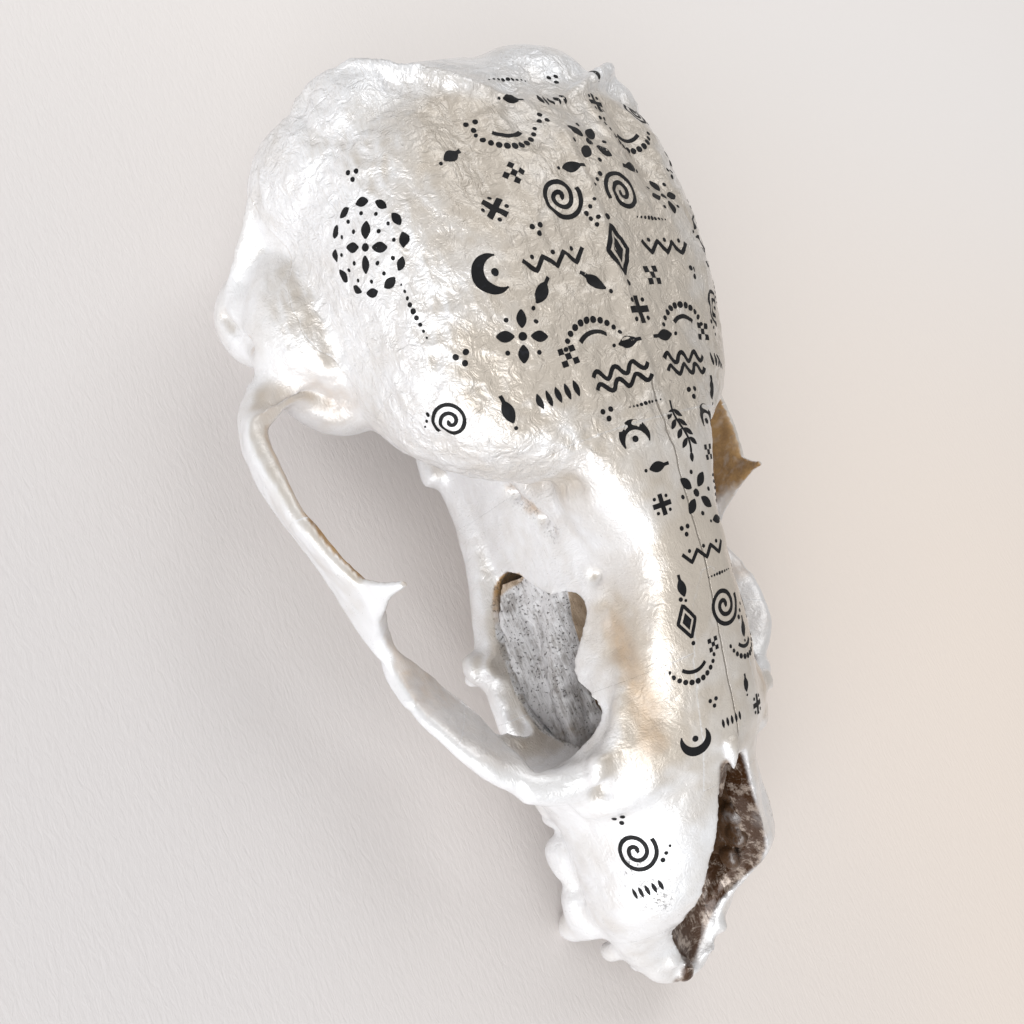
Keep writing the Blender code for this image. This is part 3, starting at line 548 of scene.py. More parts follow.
def prism(name, outline, low, high, side=1.0):
    """A straight block over an outline in X and S."""
    points = np.array(outline) * np.array([side, 1.0])
    rings = [np.column_stack([points, np.full(len(points), z)]) for z in (low, high)]
    return closed_surface(name, np.array(rings))


def block(name, low, high):
    """A box from its low to its high corner in X, S, Z."""
    outline = ((low[0], low[1]), (high[0], low[1]), (high[0], high[1]), (low[0], high[1]))
    return prism(name, outline, low[2], high[2])


# Joining and parting


def applied(item):
    """Turn an object's modifiers into its mesh."""
    depsgraph = bpy.context.evaluated_depsgraph_get()
    mesh = bpy.data.meshes.new_from_object(item.evaluated_get(depsgraph))
    item.modifiers.clear()
    item.data = mesh


def combine(item, others, operation):
    """One Boolean of a solid with several others, which are then removed."""
    group = bpy.data.collections.new("operands")
    for other in others:
        group.objects.link(other)
    step = item.modifiers.new("combine", "BOOLEAN")
    step.operation = operation
    step.operand_type = "COLLECTION"
    step.collection = group
    step.solver = "MANIFOLD"
    applied(item)
    for other in others:
        bpy.data.objects.remove(other)
    bpy.data.collections.remove(group)


def copy_of(item, name):
    """A second object with a mesh of its own."""
    copy = bpy.data.objects.new(name, item.data.copy())
    bpy.context.scene.collection.objects.link(copy)
    return copy


def smoothed(item, passes):
    """Relax the surface by moving each point half way to its neighbours' middle."""
    soften = item.modifiers.new("soften", "SMOOTH")
    soften.factor = 0.5
    soften.iterations = passes
    applied(item)


def even_skin(item, step, passes):
    """Give a solid an even skin of small faces and relax it."""
    skin = item.modifiers.new("skin", "REMESH")
    skin.mode = "VOXEL"
    skin.voxel_size = step
    applied(item)
    smoothed(item, passes)


def vertex_places(item):
    """The mesh's points in metres as one array."""
    places = np.empty(len(item.data.vertices) * 3, np.float32)
    item.data.vertices.foreach_get("co", places)
    return places.reshape(-1, 3).astype(float)


def vertex_normals(item):
    """The mesh's point normals as one array."""
    normals = np.empty(len(item.data.vertices) * 3, np.float32)
    item.data.vertex_normals.foreach_get("vector", normals)
    return normals.reshape(-1, 3).astype(float)


def move_vertices(item, places):
    """Put an array of places back into the mesh."""
    item.data.vertices.foreach_set("co", places.astype(np.float32).ravel())
    item.data.update()


def slanted_block(name, rows, grow):
    """A block with square corners carried along S, moved outwards by grow on every side."""
    table = np.array(rows)
    table[0, 0] -= grow
    table[-1, 0] += grow
    wide = table[:, 1] + grow
    low = table[:, 2] - grow
    rings = []
    for x, z in ((wide, table[:, 3]), (-wide, table[:, 3]), (-wide, low), (wide, low)):
        rings.append(np.stack([x, table[:, 0], z], axis=-1))
    return closed_surface(name, np.stack(rings, axis=1))


def grown_outline(outline, grow):
    """Each corner moved outwards along the sum of its two sides' normals."""
    corner = np.array(outline)
    before = corner - np.roll(corner, 1, axis=0)
    after = np.roll(corner, -1, axis=0) - corner
    before /= np.linalg.norm(before, axis=1, keepdims=True)
    after /= np.linalg.norm(after, axis=1, keepdims=True)
    outward = np.column_stack([before[:, 1] + after[:, 1], -before[:, 0] - after[:, 0]])
    outward /= (1.0 + np.sum(before * after, axis=1))[:, None]
    return corner + outward * grow


def place_of(bone, grow):
    """The space that one bone is cut out with, grown to cut its neighbours back."""
    name = bone + "_place"
    side = 1.0 if bone.endswith("left") else -1.0
    if bone.startswith("jugal"):
        low, high = JUGAL_HEIGHTS
        return prism(name, grown_outline(JUGAL_OUTLINE, grow), low - grow, high, side)
    if bone.startswith("temporal"):
        return prism(name, grown_outline(TEMPORAL_OUTLINE, grow), CLEAR_BELOW, TEMPORAL_TOP_Z + grow, side)
    if bone.startswith("bulla"):
        near, far, rear, front = BULLA_BOX
        low = (min(near * side, far * side) - grow, rear - grow, -5.0)
        high = (max(near * side, far * side) + grow, front + grow, BULLA_TOP_Z + grow)
        return block(name, low, high)
    if bone == "nasals":
        return slanted_block(name, NASALS, grow)
    if bone == "frontal":
        low = (-FRONTAL_HALF_WIDTH - grow, CORONAL_S - grow, CLEAR_BELOW)
        return block(name, low, (FRONTAL_HALF_WIDTH + grow, ORBIT_FRONT_S + grow, CLEAR_ABOVE))
    if bone == "braincase":
        low = (-CLEAR_SIDE, CLEAR_REAR, CLEAR_BELOW)
        return block(name, low, (CLEAR_SIDE, CORONAL_S + grow, CLEAR_ABOVE))
    if bone == "premaxilla":
        low = (-CLEAR_SIDE, PREMAXILLA_S - grow, CLEAR_BELOW)
        return block(name, low, (CLEAR_SIDE, CLEAR_FRONT, CLEAR_ABOVE))
    (upper_s, upper_z), (lower_s, lower_z) = OCCIPUT_PLANE
    lean = (lower_s - upper_s) / (upper_z - lower_z)
    edge = [(upper_s + (upper_z - z) * lean + grow, z) for z in (CLEAR_BELOW, CLEAR_ABOVE)]
    corners = [(CLEAR_REAR, CLEAR_BELOW), *edge, (CLEAR_REAR, CLEAR_ABOVE)]
    rings = [[(x, s, z) for s, z in corners] for x in (-CLEAR_SIDE, CLEAR_SIDE)]
    return closed_surface(name, np.array(rings))


# Relief, stains and painted shade, as functions of a point and its normal


def eased(value, low, high):
    """0 below low, 1 above high and a smooth S between."""
    t = np.clip((value - low) / (high - low), 0.0, 1.0)
    return t * t * (3.0 - 2.0 * t)


def band(value, low, high, soft):
    """1 between low and high, falling to 0 over the soft distance on either side."""
    return eased(value, low - soft, low) * (1.0 - eased(value, high, high + soft))


def grain(points, size, seed):
    """Smooth value from -1 to 1: scrambled numbers at a lattice's corners, blended by cubic weights."""
    place = points / size
    cell = np.floor(place).astype(np.int64)
    part = place - cell
    part = part * part * (3.0 - 2.0 * part)
    total = np.zeros(len(points))
    for corner in range(8):
        offset = np.array([corner & 1, corner >> 1 & 1, corner >> 2 & 1])
        x, y, z = (cell + offset).T
        key = (x * 73856093) ^ (y * 19349663) ^ (z * 83492791) ^ (seed * 97531)
        key = (key & 0xFFFFFFFF) * 1664525 + 1013904223 & 0xFFFFFFFF
        key = (key ^ key >> 15) * 2246822519 & 0xFFFFFFFF
        key = key ^ key >> 13
        weight = np.prod(np.where(offset, part, 1.0 - part), axis=1)
        total += (key / 2147483648.0 - 1.0) * weight
    return total


def near_path(points, path, width):
    """A bell round a path of X, S, Z points: exp of minus the squared distance over the width squared."""
    path = np.array(path, dtype=float)
    best = np.full(len(points), 1e9)
    for start, end in zip(path[:-1], path[1:]):
        span = end - start
        along = np.clip((points - start) @ span / (span @ span), 0.0, 1.0)
        gap = points - start - along[:, None] * span
        best = np.minimum(best, np.sum(gap * gap, axis=1))
    return np.exp(-best / width ** 2)


def near_spot(points, x, s, z, width):
    """A bell round one point: exp of minus the squared distance over the width squared."""
    gap = points - np.array([x, s, z])
    return np.exp(-np.sum(gap * gap, axis=1) / width ** 2)


def inside_rings(points, table, margin):
    """1 inside a table's rings and 0 outside, by the superellipse sum of the width's and height's shares."""
    rows = np.array(table)
    s = points[:, 1]
    columns = [np.interp(s, rows[:, 0], column) for column in rows.T[1:]]
    half, middle, top, bottom, power_up, power_down = columns
    upper = points[:, 2] > middle
    reach = np.where(upper, top - middle, middle - bottom) + margin
    power = np.where(upper, power_up, power_down)
    ring = np.abs(points[:, 0] / (half + margin)) ** power + np.abs((points[:, 2] - middle) / reach) ** power
    return (1.0 - eased(ring, 1.0, 1.16)) * band(s, rows[0, 0], rows[-1, 0], 1.0)


def inside_nose(points):
    """1 on the walls of the passage, and in the opening below its rim."""
    s = points[:, 1]
    rim = np.interp(s, *np.array(OPENING_RIM).T)
    below = 1.0 - eased(points[:, 2], rim - 2.6, rim - 0.9)
    ahead = eased(s, 184.0, 188.0)
    depth = np.maximum(inside_rings(points, NASAL_PASSAGE, 0.8), inside_rings(points, NOSE_OPENING, 0.8))
    return depth * (1.0 - ahead * (1.0 - below))


# Height of the nose opening's rim: S, Z
OPENING_RIM = (
    (184.0, 68.0),
    (192.0, 63.3),
    (200.0, 59.6),
    (208.0, 55.2),
    (212.0, 52.4),
    (216.0, 49.5),
    (220.0, 44.4),
    (224.0, 34.6),
    (228.0, 27.9),
    (232.0, 24.4),
    (236.0, 21.4),
    (242.0, 17.6),
)
# Lines on the skin as X, S, Z
NUCHAL_RIDGE = (
    (6.0, 33.5, 95.5),
    (16.0, 29.5, 94.5),
    (25.0, 24.5, 93.0),
    (32.0, 21.5, 90.5),
    (39.0, 17.5, 86.5),
)
MIDLINE_RIDGE = ((0.0, 44.0, 96.0), (0.0, 60.0, 96.5), (0.0, 80.0, 94.0), (0.0, 104.0, 89.5))
PARIETAL_HOLLOW = ((25.0, 38.0, 93.5), (24.5, 46.0, 94.8), (25.0, 54.0, 95.0))
VERTEX_HOLLOW = ((4.0, 28.0, 92.5), (8.0, 36.0, 94.5), (12.0, 42.0, 95.5))
BROW_CRACK = ((16.3, 110.5, 46.5), (16.1, 115.8, 49.7), (15.8, 120.8, 52.4), (15.6, 124.5, 54.0))
DOME_CREASE = ((16.6, 110.5, 56.0), (17.2, 113.5, 62.0), (19.5, 116.5, 69.0), (20.0, 119.0, 74.5))
BROW_PATCH = ((17.0, 150.5, 62.5), (18.0, 158.5, 64.5), (19.6, 167.5, 65.5), (20.2, 177.0, 64.5))
FAR_CHEEK = ((17.5, 190.0, 57.0), (18.5, 199.0, 53.5), (18.5, 206.0, 50.5))
TEMPLE_ROOT = ((65.5, 73.5, 44.5), (60.0, 75.5, 45.5), (54.0, 79.0, 45.5))
FLAKE_LINE = ((-3.6, 189.0, 63.6), (-3.4, 195.0, 60.0))
KNOB_LINE = ((-3.8, 239.5, 21.0), (-4.6, 241.5, 18.5))
EAR_GROOVE = ((64.5, 47.0, 31.0), (64.2, 53.0, 33.0), (63.6, 58.5, 38.0))
# Line, whether it is on both sides, rise and width
RELIEF_LINES = (
    (NUCHAL_RIDGE, True, 1.3, 1.9),
    (PARIETAL_HOLLOW, True, -2.9, 6.0),
    (VERTEX_HOLLOW, True, -1.2, 5.0),
    (FAR_CHEEK, False, -3.4, 6.5),
    (BROW_CRACK, True, -1.3, 1.9),
    (DOME_CREASE, True, -1.8, 2.6),
    (TEMPLE_ROOT, True, -4.2, 5.0),
    (EAR_GROOVE, True, -2.2, 1.7),
)
# X, S, Z, width, depth: small holes on both sides, then soft hollows each on its own side
SMALL_HOLES = (
    (15.0, 138.5, 62.4, 1.6, 2.4),
    (30.5, 184.5, 53.0, 2.4, 3.0),
    (16.0, 112.0, 47.0, 1.4, 1.6),
    (16.0, 121.0, 52.5, 1.3, 1.6),
)
SOFT_HOLLOWS = (
    (-17.0, 77.0, 93.5, 9.0, 0.9),
    (17.0, 77.0, 93.5, 9.0, 0.7),
    (-39.0, 94.0, 84.0, 9.0, 1.3),
    (39.0, 94.0, 84.0, 9.0, 1.3),
    (-30.0, 62.0, 93.0, 8.0, 0.8),
    (28.0, 58.0, 93.0, 10.0, 0.8),
    (-49.0, 74.0, 62.0, 10.0, 1.2),
    (49.0, 74.0, 62.0, 10.0, 1.2),
)
# Where the paint lies thin, and painted shade on the dome's top, in its hollows and creases and on the
# forehead: X, S, Z, width, share
WARM_AND_SHADE_SPOTS = (
    (17.0, 77.0, 93.0, 10.0, 0.6),
    (39.0, 93.0, 85.0, 10.0, 0.6),
    (8.0, 100.0, 90.0, 12.0, 0.4),
    (12.0, 150.0, 79.0, 13.0, 0.8),
    (26.0, 111.0, 69.0, 12.0, 0.55),
    (3.0, 78.0, 94.5, 14.0, 0.45),
    (3.0, 54.0, 96.0, 11.0, 0.35),
)
PORES = ((24.3, 203.5, 45.5), (24.6, 206.5, 44.0), (23.6, 210.0, 45.0), (22.4, 212.5, 45.0))


def relief(points, normals, strength):
    """Millimetres to move each point outwards: ridges, hollows, small holes and lumps of the surface."""
    folded = np.column_stack([np.abs(points[:, 0]), points[:, 1:]])
    height = 0.8 * near_path(points, MIDLINE_RIDGE, 1.7) * eased(normals[:, 2], 0.5, 0.8)
    for path, mirrored, rise, width in RELIEF_LINES:
        height += rise * near_path(folded if mirrored else points, path, width)
    for *spot_and_width, depth in SOFT_HOLLOWS:
        height -= depth * near_spot(points, *spot_and_width)
    for *spot_and_width, depth in SMALL_HOLES:
        height -= depth * near_spot(folded, *spot_and_width)
    lumps = 0.40 * grain(points, 11.0, 3) + 0.20 * grain(points, 5.0, 7) + 0.10 * grain(points, 2.6, 11)
    bent = points + 1.5 * np.column_stack([grain(points, 6.0, seed) for seed in (31, 32, 33)])
    # Folds of the paint, strongest on the dome
    crinkles = 0.5 - np.abs(grain(bent, 5.0, 34))
    crinkles += 0.55 * (0.5 - np.abs(grain(bent, 2.5, 35)))
    dome = band(points[:, 1], 20.0, 112.0, 12.0) * eased(points[:, 2], 40.0, 60.0)
    jaw = eased(points[:, 1], 186.0, 200.0) * (1.0 - eased(points[:, 2], 14.0, 24.0))
    lumps += 0.6 * jaw * grain(points, 4.6, 36)
    return height + strength * (lumps + (0.16 + 0.55 * dome) * crinkles)


def bare_arches(points, normals, wander):
    """Bare bone on the arches: the inner face behind the horn, most on the far side, and the top before."""
    out, s = np.abs(points[:, 0]), points[:, 1]
    inward = -normals[:, 0] * np.sign(points[:, 0])
    up = normals[:, 2]
    behind = eased(out, 48.0, 54.0) * band(s, 82.0, 126.0, 6.0) * eased(inward + 0.3 * wander, 0.1, 0.45)
    behind *= np.where(points[:, 0] > 0.0, 1.0, 0.5)
    facing = np.maximum(inward, 0.8 * inward + 0.75 * up)
    ahead = eased(out, 30.0, 40.0) * band(s, 126.0, 152.0, 3.0) * eased(facing + 0.25 * wander, 0.3, 0.6)
    fading = eased(out, 26.0, 34.0) * band(s, 150.0, 168.0, 6.0) * eased(facing + 0.5 * wander, 0.35, 0.8)
    bare_and_shade = np.maximum(behind, np.maximum((0.30 + 0.5 * wander) * ahead, 0.12 * fading))
    strip = eased(out, 56.0, 60.0) * band(s, 103.0, 122.0, 2.0)
    strip *= eased(0.9 * inward + 0.45 * up + 0.15 * wander, 0.42, 0.6)
    return np.maximum(bare_and_shade, 0.95 * strip)


def stains_and_shade(points, normals):
    """The SHARES at each point: bare bone with painted shade at the arch roots, warm paint with painted shade
    on the tops and in the hollows, dust, dark specks, the nose's dark bone with painted shade and sheen, and
    creases.
    """
    folded = np.column_stack([np.abs(points[:, 0]), points[:, 1:]])
    out, s, z = folded.T
    up = normals[:, 2]
    wander = 0.35 * grain(points, 6.0, 21) + 0.2 * grain(points, 2.2, 22)
    fine = 0.5 * grain(points, 3.0, 23) + 0.5 * grain(points, 1.4, 24)
    bare_and_shade = bare_arches(points, normals, wander)
    # Painted shade: brown in the hollow at the root of each arch
    bare_and_shade = np.maximum(bare_and_shade, 0.5 * near_path(folded, TEMPLE_ROOT, 5.5) * (0.7 + 0.6 * fine))

    # Dust inside the nose, with bare bone behind, then the brow and the ear, then the nose wall's dark brown,
    # partly painted shade, with painted sheen
    trough = inside_rings(points, NASAL_TROUGH, 0.9)
    nose = inside_nose(points)
    cavity = nose * (1.0 - eased(s, 178.0, 190.0))
    dusty = np.maximum(trough, cavity) * (0.75 + 0.5 * wander)
    rear = 1.0 - eased(s + 5.0 * wander - 0.5 * (out - 14.0), 128.0, 139.0)
    bare_and_shade = np.maximum(bare_and_shade, 0.9 * np.maximum(trough, cavity) * rear)
    patch = near_path(folded, BROW_PATCH, 4.6)
    bare_and_shade = np.maximum(bare_and_shade, 0.42 * eased(patch + 0.5 * wander, 0.3, 1.0))
    crack = near_path(folded, BROW_CRACK, 2.4)
    bare_and_shade = np.maximum(bare_and_shade, 0.55 * eased(crack + 0.5 * fine, 0.35, 0.9))
    bare_and_shade = np.maximum(bare_and_shade, 0.6 * eased(near_path(folded, EAR_GROOVE, 2.4) + 0.5 * fine, 0.4, 0.9))
    flake = eased(near_path(points, FLAKE_LINE, 3.2), 0.45, 0.7) * eased(s, 186.5, 188.5)
    knob = eased(near_path(points, KNOB_LINE, 3.4), 0.25, 0.6)
    nose_brown_and_sheen = np.maximum(np.maximum(nose * eased(s, 178.0, 188.0), flake), knob)

    # Thin warm paint at random, and painted shade: the upper faces, the hollows and the dome's crease darker,
    # as if less lit
    warm_and_shade = 0.08 + 0.7 * wander + 0.68 * eased(up, 0.5, 0.95) * band(s, 36.0, 190.0, 14.0)
    warm_and_shade += 1.0 * near_path(folded, PARIETAL_HOLLOW, 8.0)
    warm_and_shade += 1.3 * near_path(folded, BROW_PATCH, 6.5) * (0.8 + 0.8 * wander)
    warm_and_shade += 0.6 * near_path(folded, DOME_CREASE, 4.0)
    for *spot_and_width, share in WARM_AND_SHADE_SPOTS:
        warm_and_shade += share * near_spot(folded, *spot_and_width)
    # Painted light: the warm shade eased off on the shelf before the orbits, as if lit by the window
    warm_and_shade *= 1.0 - 0.8 * eased(out, 28.0, 36.0) * band(s, 128.0, 186.0, 4.0)

    # Dark specks in the dust and the pores, and where the paint is creased
    pores = near_path(folded, PORES, 3.6)
    dusty = np.maximum(dusty, 0.5 * pores * (0.8 + 0.6 * fine))
    specks = np.maximum(0.9 * dusty, pores * eased(fine, -0.5, 0.2))
    specks = np.maximum(specks, 0.6 * crack)
    creased = 0.35 + 0.65 * eased(z, 44.0, 60.0) * (1.0 - eased(s, 112.0, 124.0))
    creased *= 1.0 - 0.8 * eased(out, 48.0, 56.0) * eased(s, 66.0, 76.0)
    return bare_and_shade, warm_and_shade, dusty, specks, nose_brown_and_sheen, creased


SHARES = ("bare_and_shade", "warm_and_shade", "dusty", "specks", "nose_brown_and_sheen", "creased")


def store_share(item, name, values):
    """Keep one number from 0 to 1 on each of the mesh's points."""
    layer = item.data.attributes.new(name, "FLOAT", "POINT")
    layer.data.foreach_set("value", np.clip(values, 0.0, 1.0).astype(np.float32))


def give_stains_and_shade(item):
    """Store the shares on the mesh's points."""
    points = skull_frame(vertex_places(item))
    for name, values in zip(SHARES, stains_and_shade(points, vertex_normals(item))):
        store_share(item, name, values)


# Materials


class Wire:
    """A number or colour that flows through a material, with Python's own arithmetic."""

    def __init__(self, board, socket):
        self.board = board
        self.socket = socket

    def maths(self, operation, *values):
        """A Math node of this wire and other numbers."""
        inputs = dict(enumerate((self,) + values))
        return self.board.node("ShaderNodeMath", {"operation": operation}, inputs)

    def __add__(self, other):
        return self.maths("ADD", other)

    __radd__ = __add__

    def __sub__(self, other):
        return self.maths("SUBTRACT", other)

    def __rsub__(self, other):
        return self.board.node("ShaderNodeMath", {"operation": "SUBTRACT"}, {0: other, 1: self})

    def __mul__(self, other):
        return self.maths("MULTIPLY", other)

    __rmul__ = __mul__

    def size(self):
        """The number without its sign."""
        return self.maths("ABSOLUTE")

    def clamp(self):
        """The number held between 0 and 1."""
        return self.board.node("ShaderNodeMath", {"operation": "ADD", "use_clamp": True}, {0: self, 1: 0.0})

    def eased(self, low, high):
        """0 below low, 1 above high, smooth between."""
        settings = {"interpolation_type": "SMOOTHSTEP"}
        inputs = {"Value": self, "From Min": low, "From Max": high}
        return self.board.node("ShaderNodeMapRange", settings, inputs)

    def part(self, axis):
        """One of the three numbers of a vector."""
        return self.board.node("ShaderNodeSeparateXYZ", None, {0: self}, output=axis)


class Board:
    """The nodes of one material."""

    def __init__(self, name):
        self.material = bpy.data.materials.new(name)
        self.material.use_nodes = True
        self.tree = self.material.node_tree
        self.shader = self.tree.nodes["Principled BSDF"]

    def plug(self, socket, value):
        """Link a wire to a socket, or set a plain value on it."""
        if isinstance(value, Wire):
            self.tree.links.new(value.socket, socket)
        else:
            socket.default_value = value

    def node(self, kind, settings=None, inputs=None, output=0):
        """Any node: its settings first, then the values or links of its sockets."""
        made = self.tree.nodes.new(kind)
        for key, value in (settings or {}).items():
            if key == "stops":
                ramp = made.color_ramp
                for stop, (place, colour) in enumerate(value):
                    if stop >= len(ramp.elements):
                        ramp.elements.new(place)
                    ramp.elements[stop].position = place
                    ramp.elements[stop].color = colour
            else:
                setattr(made, key, value)
        for key, value in (inputs or {}).items():
            self.plug(made.inputs[key], value)
        return Wire(self, made.outputs[output])

    def place(self, stretch=(1.0, 1.0, 1.0)):
        """The object's own coordinates in millimetres, stretched."""
        own = self.node("ShaderNodeTexCoord", output="Object")
        factors = tuple(value / MM for value in stretch)
        return self.node("ShaderNodeVectorMath", {"operation": "MULTIPLY"}, {0: own, 1: factors})

    def noise(self, vector, scale, detail=2.0, rough=0.5, distortion=0.0):
        """Smooth random values."""
        inputs = {"Vector": vector, "Scale": scale, "Detail": detail}
        inputs |= {"Roughness": rough, "Distortion": distortion}
        return self.node("ShaderNodeTexNoise", None, inputs)

    def share(self, name):
        """A number stored on the mesh's points."""
        return self.node("ShaderNodeAttribute", {"attribute_name": name}, output="Fac")

    def mix(self, factor, first, second):
        """One colour turning into another."""
        settings = {"data_type": "RGBA"}
        return self.node("ShaderNodeMix", settings, {0: factor, 6: first, 7: second}, output=2)

    def bump(self, height, distance=1.0, strength=1.0):
        """Small relief with its height in millimetres."""
        inputs = {"Height": height, "Distance": distance * MM, "Strength": strength}
        return self.node("ShaderNodeBump", None, inputs)

    def finish(self, **values):
        """Set the surface shader's sockets."""
        for name, value in values.items():
            self.plug(self.shader.inputs[name.replace("_", " ")], value)
        return self.material


def colour4(colour):
    """Three parts of a colour with full cover."""
    return (*colour[:3], 1.0)


SPECK_COLOUR = (0.05, 0.045, 0.04, 1.0)
SEAM_COLOUR = (0.16, 0.13, 0.10, 1.0)
NOSE_SPECK_COLOUR = (0.07, 0.06, 0.055, 1.0)
INK_SHEEN_COLOUR = (0.02, 0.022, 0.03, 1.0)
FIBRE_COLOUR = (0.62, 0.60, 0.58, 1.0)
# The seam along the middle of the forehead, in millimetres: where it ends across, along and below
SEAM_HALF_WIDTH = (0.34, 0.14)
SEAM_MIDDLE_Y = -24.0
SEAM_HALF_LENGTH = (43.0, 41.0)
SEAM_LOW_Z = (60.0, 62.0)


def forehead_seam(place, cloud):
    """1 along the wandering middle line of the forehead, from three distances."""
    across = (place.part("X") + (cloud - 0.5) * 0.6).size().eased(*SEAM_HALF_WIDTH)
    along = (place.part("Y") - SEAM_MIDDLE_Y).size().eased(*SEAM_HALF_LENGTH)
    return across * along * place.part("Z").eased(*SEAM_LOW_Z)


def painted_bone(looks):
    """Pearly white paint brushed over bone, thin where the brown bone shows, dusty grey in the nose; painted
    shade darkens the upper faces, the hollows and the nose wall, and painted sheen streaks the nose wall.
    """
    board = Board("pearl_paint_on_bone")
    place = board.place()
    long_strokes = board.noise(board.place((2.2, 0.22, 2.2)), 1.0, 3.0, 0.6, 0.3)
    cross_strokes = board.noise(board.place((0.5, 1.9, 1.0)), 1.0, 3.0, 0.6, 0.9)
    choice = board.noise(place, 0.09, 1.0).eased(0.42, 0.58)
    strokes = cross_strokes + (long_strokes - cross_strokes) * choice
    crumple = board.noise(place, 0.36, 2.0, 0.5, 0.5)
    creases = (board.noise(place, 0.30, 3.0, 0.55, 0.8) - 0.5).size()
    grit = board.noise(place, 1.5, 2.0)
    cloud = board.noise(place, 0.28, 4.0, 0.6)
    bare_and_shade = board.share("bare_and_shade")
    dusty = board.share("dusty")
    nose_brown_and_sheen = board.share("nose_brown_and_sheen")
    creased = board.share("creased")
    # Warm thin paint, and painted shade on the upper faces and in the hollows
    warm_and_shade_colour = colour4(looks.warm_and_shade_colour)
    paint = board.mix(board.share("warm_and_shade"), colour4(looks.paint_colour), warm_and_shade_colour)
    paint = board.mix(strokes.eased(0.60, 0.30) * creased * 0.25, paint, warm_and_shade_colour)
    dust = board.mix(cloud.eased(0.36, 0.60), colour4(looks.dust_colour), colour4(looks.paint_colour))
    paint = board.mix(dusty.eased(0.2, 0.7), paint, dust)
    brown = board.mix(cloud.eased(0.3, 0.7), colour4(looks.bone_colour), colour4(looks.deep_colour))
    cover = (bare_and_shade + (crumple - 0.5) * 0.9 * bare_and_shade).clamp()
    colour = board.mix(cover, paint, brown)
    # The nose wall, the flake and the knob: dark brown bone darkened further as painted shade, with silvery
    # streaks that also stand as painted sheen
    painted_sheen = (cloud + (strokes - 0.5) * 0.6).eased(0.44, 0.70)
    nose_wall = board.mix(painted_sheen, colour4(looks.nose_brown_and_shade_colour), colour4(looks.silver_and_sheen_colour))
    colour = board.mix(nose_brown_and_sheen, colour, nose_wall)
    dots = grit.eased(0.57, 0.66) * board.share("specks")
    colour = board.mix(dots * 0.8, colour, SPECK_COLOUR)
    seam = forehead_seam(place, cloud)
    colour = board.mix(seam * 0.7, colour, SEAM_COLOUR)
    height = strokes * 0.14 + (crumple * 0.35 - creases * 1.1) * creased
    height = height - dots * 0.3 - seam * 0.25
    return board.finish(
        Base_Color=colour,
        Roughness=(strokes * 0.24 + 0.2 + bare_and_shade * 0.15).clamp(),
        Metallic=(1.0 - cover) * looks.pearl,
        Coat_Weight=(1.0 - cover) * 0.5,
        Coat_Roughness=0.12,
        Normal=board.bump(height),
    )


def inner_bone(looks):
    """Thin bone inside the nose: pale and dusty where the dust share is high, tan elsewhere, and deep brown
    as painted shade towards the nose opening and low down.
    """
    board = Board("dusted_inner_bone")
    place = board.place()
    cloud = board.noise(place, 0.22, 4.0, 0.6)
    streaks = board.noise(board.place((1.2, 0.12, 1.2)), 1.0, 3.0, 0.6)
    grit = board.noise(place, 1.4, 2.0)
    dust = board.share("dust")
    # Painted shade: tan turning deep brown towards the nose opening and low down
    brown = board.mix(board.share("shaded_depth"), colour4(looks.bone_colour), colour4(looks.deep_colour))
    tone = (cloud * 0.5 + streaks * 0.5).eased(0.36, 0.56)
    grey = board.mix(tone, colour4(looks.dust_colour), colour4(looks.pale_colour))
    colour = board.mix((dust + (cloud - 0.5) * 0.5).eased(0.3, 0.6), brown, grey)
    specks = grit.eased(0.61, 0.72) * (dust + 0.3)
    colour = board.mix(specks * 0.6, colour, NOSE_SPECK_COLOUR)
    height = cloud * 0.6 + streaks * 0.3 - specks * 0.25
    return board.finish(
        Base_Color=colour,
        Roughness=(0.22 + grit * 0.25).clamp(),
        Coat_Weight=0.4,
        Coat_Roughness=0.2,
        Normal=board.bump(height),
    )


def ink(looks):
    """Black drawing ink with a faint blue sheen and uneven cover."""
    board = Board("black_ink")
    place = board.place()
    cover = board.noise(place, 0.8, 3.0)
    colour = board.mix(cover.eased(0.55, 0.75) * 0.4, colour4(looks.ink_colour), INK_SHEEN_COLOUR)
    return board.finish(
        Base_Color=colour,
        Roughness=(0.45 + cover * 0.3).clamp(),
        Specular_IOR_Level=0.25,
        Normal=board.bump(cover * 0.1),
    )


def pale_sheet(looks):
    """Matt off-white paper, darker and cooler on the left as painted shade, a little warmer on the right, and
    lighter towards the top right as painted light.
    """
    board = Board("pale_sheet")
    place = board.place()
    fibres = board.noise(board.place((0.9, 0.25, 1.0)), 1.0, 4.0, 0.6, 0.6)
    across = place.part("X")
    along = place.part("Y")
    # Painted shade: darker and cooler on the left, turning warmer on the right
    tone = (across + board.noise(place, 0.01, 1.0) * 60.0).eased(-120.0, 260.0)
    colour = board.mix(tone, colour4(looks.sheet_shaded_cool), colour4(looks.sheet_warm))
    # Painted light: lighter towards the top right
    colour = board.mix((along + across * 0.3).eased(-60.0, 320.0), colour, colour4(looks.sheet_painted_light))
    colour = board.mix(fibres * 0.06, colour, FIBRE_COLOUR)
    return board.finish(Base_Color=colour, Roughness=0.9, Normal=board.bump(fibres * 0.12))


def dress(item, material):
    """Finish a piece: its material, soft shading and the body that carries it."""
    item.data.materials.clear()
    item.data.materials.append(material)
    item.data.shade_smooth()
    item.data.set_sharp_from_angle(angle=math.radians(50.0))
    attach(item, "root")


# The bones


